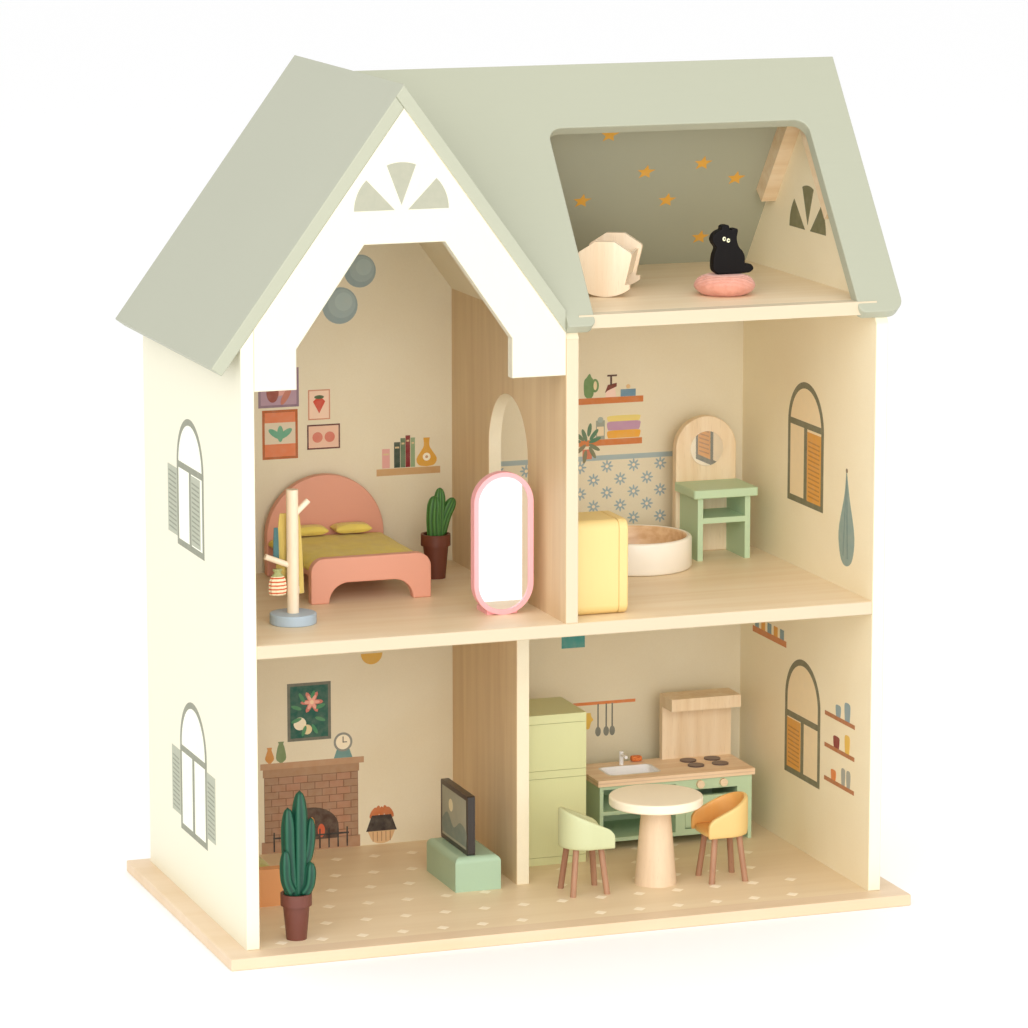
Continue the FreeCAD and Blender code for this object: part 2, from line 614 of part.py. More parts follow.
def main_roof():
    """Two boards that meet at the ridge, with the front one open round the attic window. Both are
    drawn flat, then tipped to the slope and trimmed to the ridge and to the wing's roof."""
    over_at_left = f"({GABLE_EAVE} + board * {GABLE_LEAN})"
    high = f"({GABLE_OVER} + overcut)"
    wing = plate("wing_space", "XZ", [[
        (f"({LEFT} - gable_reach)", GROUND), (PARTITION, GROUND), (PARTITION, over_at_left),
        (GABLE_MIDDLE, GABLE_OVER), (GABLE_MIDDLE, high), (f"({LEFT} - gable_reach)", high)]],
        f"({FRONT} - overcut)", "(house_depth + 2 * overcut)")
    start = f"({GABLE_MIDDLE} - board)"
    end = f"({RIGHT} + main_reach)"
    window_start = f"({PARTITION_RIGHT} + window_left)"
    window_end = f"({INNER_RIGHT} - window_right)"
    eave = "(-main_slope_long)"
    soft_eave = "(leg_round - main_slope_long)"
    lintel = "(-window_top)"
    soft_lintel = "(-window_top - window_round)"
    inner_leg = f"({window_start} - leg_round / 2)"
    soft_inner = "(leg_round / 2 - main_slope_long)"
    right_inner = f"({window_end} + leg_round / 2)"
    front_outline = [
        (start, eave),
        (inner_leg, eave, inner_leg, soft_inner, 1), (window_start, soft_inner),
        (window_start, soft_lintel, f"({window_start} + window_round)", soft_lintel, -1),
        (f"({window_start} + window_round)", lintel),
        (f"({window_end} - window_round)", lintel, f"({window_end} - window_round)",
         soft_lintel, -1),
        (window_end, soft_lintel), (window_end, soft_inner, right_inner, soft_inner, 1),
        (right_inner, eave),
        (f"({end} - leg_round)", eave, f"({end} - leg_round)", soft_eave, 1), (end, soft_eave),
        (end, "board"), (start, "board")]
    back_outline = [
        (start, eave), (f"({end} - leg_round)", eave, f"({end} - leg_round)", soft_eave, 1),
        (end, soft_eave), (end, "board"), (start, "board")]
    tip = f"atan({MAIN_SLOPE})"
    ridge = at("0", MAIN_MIDDLE, MAIN_OVER)
    half_depth = "(house_depth + base_front)"
    past_left = f"({LEFT} - gable_reach)"

    def flat_board(label, outline):
        flat = plate(label + "_flat", "XY", [outline], "-board", "board")
        side = value(end) - 0.1
        soften(flat, "edge_round", lambda edge: edge.BoundBox.XMin > side or (
            edge.BoundBox.YMax < -1 and edge.BoundBox.XMin > value(start) + 1))
        return place(flat, ridge, tip, Vector(1, 0, 0))

    def half_space(label, y):
        return box(label, at(past_left, y, GROUND), "(2 * house_width)", half_depth, high)

    front = flat_board("main_roof_front", front_outline)
    carve("main_roof_front", front, [half_space("behind_ridge", MAIN_MIDDLE), wing])
    back = doc.addObject("Part::Mirroring", "main_roof_back_mirrored")
    back.Source = flat_board("main_roof_back", back_outline)
    back.Normal = Vector(0, 1, 0)
    back.setExpression("Base.y", bound(MAIN_MIDDLE))
    before = half_space("before_ridge", f"({MAIN_MIDDLE} - {half_depth})")
    carve("main_roof_back", back, [before, wing])


def attic():
    """The attic floor and back panel, cut to the underside of the roof, and the roof's cleats."""
    floor = box("attic_floor_blank", at(PARTITION_RIGHT, FRONT, f"({ATTIC} - board)"),
                f"({INNER_RIGHT} - {PARTITION_RIGHT})", f"({INNER_BACK} - {FRONT})", "board")
    roof_front, roof_back = doc.getObject("main_roof_front"), doc.getObject("main_roof_back")
    carve("attic_floor", floor, [roof_front, roof_back])
    wide = box("back_panel_wide", at(INNER_LEFT, INNER_BACK, GROUND),
               f"({INNER_RIGHT} - {INNER_LEFT})", "back_thick", "gable_eave")
    high = box("back_panel_high", at(PARTITION, INNER_BACK, GROUND),
               f"({INNER_RIGHT} - {PARTITION})", "back_thick",
               f"(main_eave + back_thick * {MAIN_SLOPE})")
    carve("back_panel", join("back_panel_blank", [wide, high]), [roof_back])
    drop = "(cleat_wide * " + MAIN_LEAN + ")"
    reach = f"(cleat_long / {MAIN_LEAN})"
    step_in = f"(cleat_wide * {MAIN_SLOPE} / {MAIN_LEAN})"
    step_down = f"(cleat_wide / {MAIN_LEAN})"
    foot = f"({MAIN_UNDER} - {reach} * {MAIN_SLOPE})"
    shape = [
        (f"({MAIN_MIDDLE} - {reach})", foot),
        (f"({MAIN_MIDDLE} - {reach} + {step_in})", f"({foot} - {step_down})"),
        (MAIN_MIDDLE, f"({MAIN_UNDER} - {drop})"),
        (f"({MAIN_MIDDLE} + {reach} - {step_in})", f"({foot} - {step_down})"),
        (f"({MAIN_MIDDLE} + {reach})", foot), (MAIN_MIDDLE, MAIN_UNDER)]
    cleats = [plate("cleat_left", "YZ", [shape], PARTITION_RIGHT, "cleat_thick"),
              plate("cleat_right", "YZ", [shape], f"({INNER_RIGHT} - cleat_thick)", "cleat_thick")]
    group("roof_cleats", cleats)


# --- Bedroom -----------------------------------------------------------------------------------

def bed():
    left = "(bed_x - bed_wide / 2)"
    right = "(bed_x + bed_wide / 2)"
    arch_left = "(bed_x - foot_arch_wide / 2)"
    arch_right = "(bed_x + foot_arch_wide / 2)"
    arch_top = f"({MIDDLE} + foot_arch_tall)"
    top = f"({MIDDLE} + foot_tall)"
    soft_top = f"({top} - foot_round)"
    foot = plate("bed_footboard", "XZ", [[
        (left, MIDDLE), (arch_left, MIDDLE, f"({arch_left} + foot_arch_tall)", MIDDLE, -1),
        (f"({arch_left} + foot_arch_tall)", arch_top),
        (f"({arch_right} - foot_arch_tall)", arch_top, f"({arch_right} - foot_arch_tall)",
         MIDDLE, -1),
        (arch_right, MIDDLE), (right, MIDDLE),
        (right, soft_top, f"({right} - foot_round)", soft_top, 1), (f"({right} - foot_round)", top),
        (f"({left} + foot_round)", top, f"({left} + foot_round)", soft_top, 1), (left, soft_top)]],
        "bed_front", "bed_board")
    soften(foot, "edge_round")
    head = plate("bed_headboard", "XZ", [arched("bed_x", "(bed_wide / 2)", MIDDLE,
                                                f"({MIDDLE} + head_tall)")],
                 "(bed_front + bed_long - bed_board)", "bed_board")
    soften(head, "edge_round")
    inner = "(bed_front + bed_board)"
    long = "(bed_long - 2 * bed_board)"
    box("bed_deck", at(f"({left} + bed_board)", inner, f"({MIDDLE} + deck_level)"),
        "(bed_wide - 2 * bed_board)", long, "deck_thick")
    quilt_level = f"({MIDDLE} + deck_level + deck_thick)"
    box("bed_quilt", at(f"({left} + fit_gap)", f"({inner} + fit_gap)", quilt_level),
        "(bed_wide - 2 * fit_gap)", f"({long} - 2 * fit_gap)", "quilt_thick")
    pillow_y = f"(bed_front + bed_long - bed_board - fit_gap - pillow_deep)"
    for label, side in (("bed_pillow_left", "-1"), ("bed_pillow_right", "1")):
        middle = f"(bed_x + {side} * (pillow_long / 2 + 4 * fit_gap))"
        box(label, at(f"({middle} - pillow_long / 2)", pillow_y, f"({quilt_level} + quilt_thick)"),
            "pillow_long", "pillow_deep", "pillow_thick")


def coat_rack():
    foot = plate("rack_foot", "XY", [[
        ("(rack_x - rack_foot_radius)", "rack_y", "rack_x", "rack_y", 1),
        ("(rack_x + rack_foot_radius)", "rack_y", "rack_x", "rack_y", 1)]],
        MIDDLE, "rack_foot_thick")
    soften(foot, "edge_round")
    post = rod("rack_upright", at("rack_x", "rack_y", f"({MIDDLE} + rack_foot_thick)"),
               "rack_post_radius", "(rack_tall - rack_foot_thick)")
    upper = rod("rack_peg_upper", at("rack_x", "rack_y", f"({MIDDLE} + peg_upper)"),
                "peg_radius", "peg_long", "peg_lean", Vector(0, 1, 0))
    lower = rod("rack_peg_lower", at("rack_x", "rack_y", f"({MIDDLE} + peg_lower)"),
                "peg_radius", "peg_low_long", "-peg_low_lean", Vector(0, 1, 0))
    join("rack_post", [post, upper, lower])
    hem = f"({MIDDLE} + coat_hem)"
    collar = f"({MIDDLE} + coat_top)"
    plate("rack_coat", "XZ", [[
        ("(rack_x - coat_reach)", hem), ("(rack_x + coat_reach)", hem),
        ("(rack_x + coat_shoulder)", collar), ("(rack_x - coat_shoulder)", collar)]],
        "(rack_y + rack_post_radius + fit_gap)", "coat_thick")
    box("rack_bag", at("(rack_x - rack_post_radius - fit_gap - bag_wide)", "(rack_y - bag_thick / 2)",
                       f"({MIDDLE} + peg_lower - bag_tall - 4 * fit_gap)"),
        "bag_wide", "bag_thick", "bag_tall")


def potted_cactus(prefix, x, y, floor, tall, arm_level):
    """A tapered pot with a rim, filled to just under its lip, and a stem with one arm."""
    body_tall = "(pot_tall - pot_rim_tall)"
    body = cone(prefix + "_pot_body", at(x, y, floor), "pot_foot_radius", "pot_neck_radius",
                body_tall)
    rim = rod(prefix + "_pot_rim", at(x, y, f"({floor} + {body_tall})"), "pot_rim_radius",
              "pot_rim_tall")
    hollow = rod(prefix + "_pot_hollow", at(x, y, f"({floor} + pot_tall - pot_soil)"),
                 "(pot_rim_radius - pot_wall)", "(2 * pot_soil)")
    carve(prefix + "_pot", join(prefix + "_pot_whole", [body, rim]), [hollow])
    soil = f"({floor} + pot_tall - pot_soil)"
    stem_tall = f"({tall} - pot_tall + pot_soil - stem_radius)"
    stem = rod(prefix + "_stem", at(x, y, soil), "stem_radius", stem_tall)
    cap = primitive("Sphere", prefix + "_cap", at(x, y, f"({soil} + {stem_tall})"),
                    Radius="stem_radius")
    arm_spot = at(x, y, f"({floor} + {arm_level})")
    arm = rod(prefix + "_arm", arm_spot, "arm_radius", "arm_long", "arm_lean", Vector(0, 1, 0))
    join(prefix + "_plant", [stem, cap, arm])


def standing_mirror():
    half = "(glass_wide / 2)"
    inner_half = "(glass_wide / 2 - glass_frame)"
    top = f"({MIDDLE} + glass_tall)"
    ring = plate("mirror_ring", "XZ", [
        stadium("glass_x", half, MIDDLE, top),
        stadium("glass_x", inner_half, f"({MIDDLE} + glass_frame)", f"({top} - glass_frame)")],
        "glass_y", "glass_thick")
    foot = box("mirror_foot", at("(glass_x - glass_foot / 2)", "(glass_y + glass_thick / 2)",
                                 MIDDLE), "glass_foot", "glass_foot", "glass_frame")
    join("mirror_frame", [ring, foot])
    plate("mirror_plate", "XZ", [stadium("glass_x", inner_half, f"({MIDDLE} + glass_frame)",
                                         f"({top} - glass_frame)")],
          "(glass_y + (glass_thick - glass_plate) / 2)", "glass_plate")


# --- Bathroom ----------------------------------------------------------------------------------

def washing_machine():
    def slab(label, inset, x, thick):
        return plate(label, "YZ", [rounded(
            f"(washer_y + {inset})", f"({MIDDLE} + {inset})",
            f"(washer_y + washer_deep - {inset})", f"({MIDDLE} + washer_tall - {inset})",
            f"(washer_round - {inset})")], x, thick)
    main = "(washer_wide - washer_door - washer_groove)"
    cabinet = slab("washer_cabinet", "0", "washer_x", main)
    neck = slab("washer_neck", "washer_groove", "(washer_x + washer_round)",
                "(washer_wide - 2 * washer_round)")
    door = slab("washer_door_panel", "0", "(washer_x + washer_wide - washer_door)", "washer_door")
    outermost = value("(washer_x + washer_wide)")
    soften(door, "(2 * edge_round)", lambda edge: edge.BoundBox.XMin > outermost - 0.1)
    join("washing_machine", [cabinet, neck, door])


def bath_tub():
    outer = rod("tub_outside", at("tub_x", "tub_y", MIDDLE), "tub_radius", "tub_tall")
    inner = rod("tub_inside", at("tub_x", "tub_y", f"({MIDDLE} + tub_floor)"),
                "(tub_radius - tub_wall)", "tub_tall")
    carve("bath_tub", outer, [inner])


def dressing_table():
    top_y = "vanity_y"
    half = "(vanity_wide / 2)"
    side_x = f"(vanity_x - {half} + vanity_lip)"
    inner = "(vanity_wide - 2 * vanity_lip - 2 * vanity_side)"
    leg_tall = "(vanity_tall - vanity_top)"
    deep = "(vanity_deep - vanity_lip)"
    top = plate("vanity_top_board", "XY", [rounded(
        f"(vanity_x - {half})", top_y, f"(vanity_x + {half})", f"({top_y} + vanity_deep)",
        "(2 * edge_round)")], f"({MIDDLE} + {leg_tall})", "vanity_top")
    soften(top, "edge_round")
    sides = [box(f"vanity_side_{n}", at(f"({side_x} + {n} * ({inner} + vanity_side))",
                                        f"({top_y} + vanity_lip)", MIDDLE),
                 "vanity_side", deep, leg_tall) for n in (0, 1)]
    shelf = box("vanity_shelf_board", at(f"({side_x} + vanity_side)", f"({top_y} + vanity_lip)",
                                         f"({MIDDLE} + vanity_shelf)"), inner, deep, "vanity_side")
    join("vanity_table", [top, shelf] + sides)
    back = plate("vanity_back", "XZ", [arched("vanity_x", "(vanity_back_wide / 2)", MIDDLE,
                                              f"({MIDDLE} + vanity_back_tall)")],
                 f"({top_y} + vanity_deep)", "vanity_back_thick")
    soften(back, "edge_round")
    rod("vanity_mirror", at("vanity_x", f"({top_y} + vanity_deep)",
                            f"({MIDDLE} + vanity_glass_level)"),
        "vanity_glass_radius", "vanity_glass_thick", "90", Vector(1, 0, 0))


# --- Attic pieces ------------------------------------------------------------------------------

def cradle():
    """Two shaped ends on curved rockers, joined by a trough, drawn about the cradle's middle."""
    rocker_end = "(rocker_radius - sqrt(rocker_radius ^ 2 - rocker_half ^ 2))"
    shape = [
        ("-rocker_half", rocker_end, "0", "rocker_radius", 1), ("rocker_half", rocker_end),
        ("rocker_half", "rocker_top"), ("cradle_waist", "rocker_top"),
        ("cradle_half", "cradle_shoulder"), ("cradle_crown", "cradle_peak"),
        ("-cradle_crown", "cradle_peak"), ("-cradle_half", "cradle_shoulder"),
        ("-cradle_waist", "rocker_top"), ("-rocker_half", "rocker_top")]
    spot = at("cradle_x", "cradle_y", f"({ATTIC} + fit_gap)")
    thick = value("cradle_board")

    def is_corner(edge):
        reach = edge.BoundBox
        return reach.YLength > thick - 0.1 and reach.ZMin > value("cradle_shoulder") - 0.1

    ends = []
    for label, near in (("cradle_end_front", "(-cradle_long / 2)"),
                        ("cradle_end_back", "(cradle_long / 2 - cradle_board)")):
        end = plate(label, "XZ", [shape], near, "cradle_board")
        soften(end, "cradle_round", is_corner)
        ends.append(place(end, spot, "cradle_turn"))
    group("cradle_ends", ends)
    low, high = "(rocker_top + cradle_wall)", "(cradle_shoulder - cradle_wall)"
    lean = "((cradle_half - cradle_waist) / (cradle_shoulder - rocker_top))"
    def side(level, inset):
        return f"(cradle_waist + ({level} - rocker_top) * {lean} - {inset})"
    skin = "(2 * cradle_wall)"
    trough = plate("cradle_trough", "XZ", [[
        (f"-{side(low, 'cradle_wall')}", low), (side(low, "cradle_wall"), low),
        (side(high, "cradle_wall"), high), (side(high, skin), high),
        (side(f"({low} + cradle_wall)", skin), f"({low} + cradle_wall)"),
        (f"-{side(f'({low} + cradle_wall)', skin)}", f"({low} + cradle_wall)"),
        (f"-{side(high, skin)}", high), (f"-{side(high, 'cradle_wall')}", high)]],
        "(cradle_board - cradle_long / 2)", "(cradle_long - 2 * cradle_board)")
    place(trough, spot, "cradle_turn")


def pouffe_and_cat():
    """A round cushion with a flat cut-out cat sitting on it."""
    pouffe = plate("pouffe", "XY", [[
        ("(pouffe_x - pouffe_radius)", "pouffe_y", "pouffe_x", "pouffe_y", 1),
        ("(pouffe_x + pouffe_radius)", "pouffe_y", "pouffe_x", "pouffe_y", 1)]],
        ATTIC, "pouffe_tall")
    soften(pouffe, "(pouffe_tall / 3)")
    seat = f"({ATTIC} + pouffe_tall + fit_gap)"
    profile = [(-0.2, 0), (0.44, 0), (0.62, 0.06), (0.62, 0.18), (0.44, 0.22), (0.39, 0.46),
               (0.27, 0.66), (0.26, 0.93), (0.1, 0.91), (0.04, 1), (-0.1, 0.98), (-0.3, 0.84),
               (-0.33, 0.66), (-0.25, 0.54), (-0.31, 0.2)]
    plate("cat", "XZ", [[(f"(pouffe_x + {u} * cat_wide)", f"({seat} + {v} * cat_tall)")
                         for u, v in profile]], "(pouffe_y - cat_thick / 2)", "cat_thick")


# --- Kitchen and dining ------------------------------------------------------------------------

def fridge():
    """An open-fronted carcass with two doors that turn on pins at its left edge."""
    inner = "(fridge_wide - 2 * fridge_wall)"
    mouth_y = "(fridge_y - fridge_wall)"
    reach = "fridge_deep"
    shell = box("fridge_shell", at("fridge_x", "fridge_y", GROUND), "fridge_wide", "fridge_deep",
                "fridge_tall")
    low = f"({GROUND} + fridge_foot)"
    split = f"({GROUND} + fridge_split)"
    high = f"({split} + fridge_rail)"
    low_tall = "(fridge_split - fridge_foot)"
    high_tall = "(fridge_tall - fridge_head - fridge_split - fridge_rail)"
    tools = []
    for name, level, tall in (("low", low, low_tall), ("high", high, high_tall)):
        tools.append(box(f"fridge_{name}_space", at("(fridge_x + fridge_wall)", mouth_y, level),
                         inner, reach, tall))
        tools.append(box(f"fridge_{name}_seat", at("(fridge_x - fridge_wall)", mouth_y, level),
                         "(fridge_wide + 2 * fridge_wall)",
                         "(fridge_door + fridge_wall + fit_gap)", tall))
    half = "(fridge_door / 2)"
    pin_x = f"(fridge_x + {half})"
    pin_y = f"(fridge_y + {half})"
    far = "(fridge_x + fridge_wide)"
    outline = [
        (pin_x, "fridge_y"), (far, "fridge_y"), (far, "(fridge_y + fridge_door)"),
        (pin_x, "(fridge_y + fridge_door)", pin_x, pin_y, 1)]
    for name, level, tall in (("lower", low, low_tall), ("upper", high, high_tall)):
        label = "fridge_door_" + name
        leaf = plate(label + "_leaf", "XY", [outline], f"({level} + fit_gap)",
                     f"({tall} - 2 * fit_gap)")
        pin = rod(label + "_pin", at(pin_x, pin_y, f"({level} - pin_long)"), "pin_radius",
                  f"({tall} + 2 * pin_long)")
        join(label, [leaf, pin])
        tools.append(rod(label + "_socket", at(pin_x, pin_y, f"({level} - pin_long - fit_gap)"),
                         "(pin_radius + pin_gap)", f"({tall} + 2 * pin_long + 2 * fit_gap)"))
    carve("fridge_body", shell, tools)


CABINET_X = "(kitchen_x + worktop_lip)"
CABINET_Y = "(kitchen_y + worktop_lip)"
CABINET_WIDE = "(kitchen_wide - 2 * worktop_lip)"
CABINET_DEEP = "(kitchen_deep - worktop_lip)"
CABINET_TOP = f"({GROUND} + kitchen_tall - worktop_thick)"
WORKTOP = f"({GROUND} + kitchen_tall)"
OVEN_LOW = f"({CABINET_TOP} - kitchen_panel - oven_gap - oven_tall)"
OVEN_X = f"({CABINET_X} + kitchen_bay + oven_stile)"
OVEN_PIN_Y = f"({CABINET_Y} + oven_door_thick / 2)"
OVEN_PIN_Z = f"({OVEN_LOW} + fit_gap + oven_door_thick / 2)"
SINK_X = f"({CABINET_X} + (kitchen_bay - sink_wide) / 2 + kitchen_wall / 2)"
SINK_Y = "(kitchen_y + (kitchen_deep - sink_deep) / 2)"


def kitchen():
    """A cabinet with open shelves on the left and an oven on the right."""
    plinth = f"({GROUND} + kitchen_plinth)"
    inside = f"({plinth} + kitchen_wall)"
    shell = box("cabinet_shell", at(CABINET_X, CABINET_Y, GROUND), CABINET_WIDE, CABINET_DEEP,
                f"({CABINET_TOP} - {GROUND})")
    under = box("cabinet_under", at(f"({CABINET_X} + kitchen_wall)", f"({CABINET_Y} - 1)", "0"),
                f"({CABINET_WIDE} - 2 * kitchen_wall)", f"({CABINET_DEEP} + 2)", plinth)
    bay_wide = "(kitchen_bay - 2 * kitchen_wall)"
    depth = f"({CABINET_DEEP} - kitchen_wall + 1)"
    shelf = f"({GROUND} + kitchen_shelf)"
    bays = [
        box("cabinet_bay_low", at(f"({CABINET_X} + kitchen_wall)", f"({CABINET_Y} - 1)", inside),
            bay_wide, depth, f"({shelf} - {inside})"),
        box("cabinet_bay_high", at(f"({CABINET_X} + kitchen_wall)", f"({CABINET_Y} - 1)",
                                   f"({shelf} + kitchen_wall)"),
            bay_wide, depth, f"({CABINET_TOP} - {shelf} - 2 * kitchen_wall)"),
        box("cabinet_oven", at(OVEN_X, f"({CABINET_Y} - 1)", OVEN_LOW), "oven_wide", depth,
            "(oven_tall + oven_gap)")]
    sink_well = box("cabinet_sink_well", at(f"({SINK_X} - fit_gap)", f"({SINK_Y} - fit_gap)",
                                            f"({WORKTOP} - sink_hollow - 2 * sink_wall)"),
                    "(sink_wide + 2 * fit_gap)", "(sink_deep + 2 * fit_gap)", "(3 * sink_hollow)")
    sockets = rod("cabinet_oven_sockets", at(f"({OVEN_X} - pin_long - fit_gap)", OVEN_PIN_Y,
                                             OVEN_PIN_Z), "(pin_radius + pin_gap)",
                  "(oven_wide + 2 * pin_long + 2 * fit_gap)", "90", Vector(0, 1, 0))
    carve("kitchen_cabinet", shell, [under, sink_well, sockets] + bays)
    plate("kitchen_worktop", "XY", [
        block("kitchen_x", "kitchen_y", "(kitchen_x + kitchen_wide)", "(kitchen_y + kitchen_deep)"),
        rounded(SINK_X, SINK_Y, f"({SINK_X} + sink_wide)", f"({SINK_Y} + sink_deep)",
                "sink_round")], CABINET_TOP, "worktop_thick")
    sink()
    oven_front()
    hood()


def sink():
    """A flush tray let into the worktop, with its tap behind it."""
    bottom = f"({WORKTOP} - sink_hollow - sink_wall)"
    tray = plate("sink_outside", "XY", [rounded(
        SINK_X, SINK_Y, f"({SINK_X} + sink_wide)", f"({SINK_Y} + sink_deep)", "sink_round")],
        bottom, "(sink_hollow + sink_wall)")
    hollow = plate("sink_inside", "XY", [rounded(
        f"({SINK_X} + sink_wall)", f"({SINK_Y} + sink_wall)",
        f"({SINK_X} + sink_wide - sink_wall)", f"({SINK_Y} + sink_deep - sink_wall)",
        "(sink_round - sink_wall)")], f"({WORKTOP} - sink_hollow)", "(2 * sink_hollow)")
    basin = carve("sink_basin", tray, [hollow])
    tap_x = f"({SINK_X} + sink_wide / 2)"
    tap_y = f"({SINK_Y} + sink_deep + 2 * tap_radius)"
    stem = rod("tap_stem", at(tap_x, tap_y, WORKTOP), "tap_radius", "tap_tall")
    spout = rod("tap_spout", at(tap_x, tap_y, f"({WORKTOP} + tap_tall - 1.5 * tap_radius)"),
                "spout_radius", "spout_long", "90", Vector(1, 0, 0))
    group("kitchen_sink", [basin, join("sink_tap", [stem, spout])])
    ring = []
    first_x = f"({CABINET_X} + kitchen_bay + burner_side)"
    first_y = "(kitchen_y + burner_front)"
    for column in (0, 1):
        for line in (0, 1):
            ring.append(rod(f"burner_{column}_{line}",
                            at(f"({first_x} + {column} * burner_across)",
                               f"({first_y} + {line} * burner_behind)", WORKTOP),
                            "burner_radius", "burner_thick"))
    group("kitchen_burners", ring)


def oven_front():
    """The oven door, round at the bottom where its pins are, and the two knobs above it."""
    top = f"({OVEN_LOW} + oven_tall)"
    far = f"({CABINET_Y} + oven_door_thick)"
    leaf = plate("oven_door_leaf", "YZ", [[
        (CABINET_Y, OVEN_PIN_Z, OVEN_PIN_Y, OVEN_PIN_Z, 1), (far, OVEN_PIN_Z),
        (far, top), (CABINET_Y, top)]], f"({OVEN_X} + fit_gap)", "(oven_wide - 2 * fit_gap)")
    pin = rod("oven_door_pin", at(f"({OVEN_X} - pin_long)", OVEN_PIN_Y, OVEN_PIN_Z), "pin_radius",
              "(oven_wide + 2 * pin_long)", "90", Vector(0, 1, 0))
    join("oven_door", [leaf, pin])
    knobs = []
    for n, inset in enumerate(("knob_inset", "(oven_wide - knob_inset)")):
        knobs.append(rod(f"knob_{n}", at(f"({OVEN_X} + {inset})", CABINET_Y,
                                         f"({CABINET_TOP} - kitchen_panel / 2)"),
                         "knob_radius", "knob_thick", "90", Vector(1, 0, 0)))
    group("oven_knobs", knobs)


def hood():
    """A board standing on the back of the worktop with a hood along its top."""
    right = "(kitchen_x + kitchen_wide)"
    left = f"({right} - hood_wide)"
    board_y = "(kitchen_y + kitchen_deep - hood_board)"
    board = box("hood_panel", at(left, board_y, WORKTOP), "hood_wide", "hood_board",
                "(hood_level - kitchen_tall)")
    top = box("hood_top", at(left, f"({board_y} - hood_deep)", f"({GROUND} + hood_level - hood_tall)"),
              "hood_wide", "hood_deep", "hood_tall")
    join("kitchen_hood", [board, top])


def round_table():
    cone("table_pedestal", at("table_x", "table_y", GROUND), "pedestal_foot", "pedestal_neck",
         "(table_tall - table_thick)")
    top = plate("table_top", "XY", [[
        ("(table_x - table_radius)", "table_y", "table_x", "table_y", 1),
        ("(table_x + table_radius)", "table_y", "table_x", "table_y", 1)]],
        f"({GROUND} + table_tall - table_thick)", "table_thick")
    soften(top, "(1.5 * edge_round)")


def chair(prefix, x, turn):
    """A shell open to the front over four splayed legs, drawn facing +X about its middle."""
    def around(radius):
        return [("0", f"-{radius}"), ("chair_reach", f"-{radius}"), ("chair_reach", radius),
                ("0", radius, "0", "0", 1)]
    spot = at(x, "chair_y", GROUND)
    outer = plate(prefix + "_shell_outside", "XY", [around("chair_radius")], "chair_seat",
                  "(chair_back - chair_seat)")
    inner_radius = "(chair_radius - chair_wall)"
    inner = plate(prefix + "_shell_inside", "XY", [[
        ("0", f"-{inner_radius}"), ("(2 * chair_reach)", f"-{inner_radius}"),
        ("(2 * chair_reach)", inner_radius), ("0", inner_radius, "0", "0", 1)]],
        "(chair_seat + chair_wall)", "chair_back")
    wedge = plate(prefix + "_shell_wedge", "XZ", [[
        ("-chair_radius", "chair_back"), ("chair_reach", "chair_arm"),
        ("(2 * chair_reach)", "chair_arm"), ("(2 * chair_reach)", "(2 * chair_back)"),
        ("-chair_radius", "(2 * chair_back)")]], "-chair_reach", "(2 * chair_reach)")
    place(carve(prefix + "_seat", outer, [inner, wedge]), spot, turn)
    legs = []
    for n, (across, along) in enumerate(((1, 1), (1, -1), (-1, -1), (-1, 1))):
        foot = Vector(across * value("leg_spread"), along * value("leg_spread"), 0)
        top = Vector(across * value("leg_set"), along * value("leg_set"), value("chair_seat"))
        radius = value("leg_radius")
        ring = Part.Wire(Part.Circle(foot, Vector(0, 0, 1), radius).toShape())
        collar = Part.Wire(Part.Circle(top, Vector(0, 0, 1), radius).toShape())
        leg = doc.addObject("Part::Feature", f"{prefix}_leg_{n}")
        leg.Shape = Part.makeLoft([ring, collar], True)
        legs.append(leg)
    place(group(prefix + "_legs", legs), spot, turn)


# --- Living room -------------------------------------------------------------------------------

def television():
    stand = plate("tv_block", "XY", [block(
        "tv_x", "tv_y", "(tv_x + tv_block_wide)", "(tv_y + tv_block_deep)")], GROUND,
        "tv_block_tall")
    top = value(f"({GROUND} + tv_block_tall)")
    soften(stand, "tv_block_round", lambda edge: edge.BoundBox.ZMin > top - 0.1)
    screen_x = "(tv_x + tv_set)"
    screen_y = "(tv_y + tv_front)"
    level = f"({GROUND} + tv_block_tall)"
    panel = plate("tv_panel", "YZ", [rounded(
        screen_y, level, f"({screen_y} + tv_long)", f"({level} + tv_tall)", "(2 * edge_round)")],
        screen_x, "tv_thick")
    dip = box("tv_dip", at(f"({screen_x} - tv_sunk)", f"({screen_y} + tv_rim)", f"({level} + tv_rim)"),
              "(2 * tv_sunk)", "(tv_long - 2 * tv_rim)", "(tv_tall - 2 * tv_rim)")
    carve("tv_screen", panel, [dip])


def sofa():
    x = f"({INNER_LEFT} + sofa_gap)"
    seat = box("sofa_base", at(x, "sofa_y", GROUND), "sofa_deep", "sofa_long", "sofa_seat")
    back = box("sofa_back", at(x, "sofa_y", GROUND), "sofa_arm", "sofa_long", "sofa_back_tall")
    arms = [box(f"sofa_arm_{n}", at(x, f"(sofa_y + {n} * (sofa_long - sofa_arm))", GROUND),
                "sofa_deep", "sofa_arm", "sofa_arm_tall") for n in (0, 1)]
    join("sofa_frame", [seat, back] + arms)
    box("sofa_cushion", at(f"({x} + sofa_arm + fit_gap)", "(sofa_y + sofa_arm + fit_gap)",
                           f"({GROUND} + sofa_seat)"),
        "(sofa_deep - sofa_arm - 2 * fit_gap)", "(sofa_long - 2 * sofa_arm - 2 * fit_gap)",
        "sofa_cushion_thick")


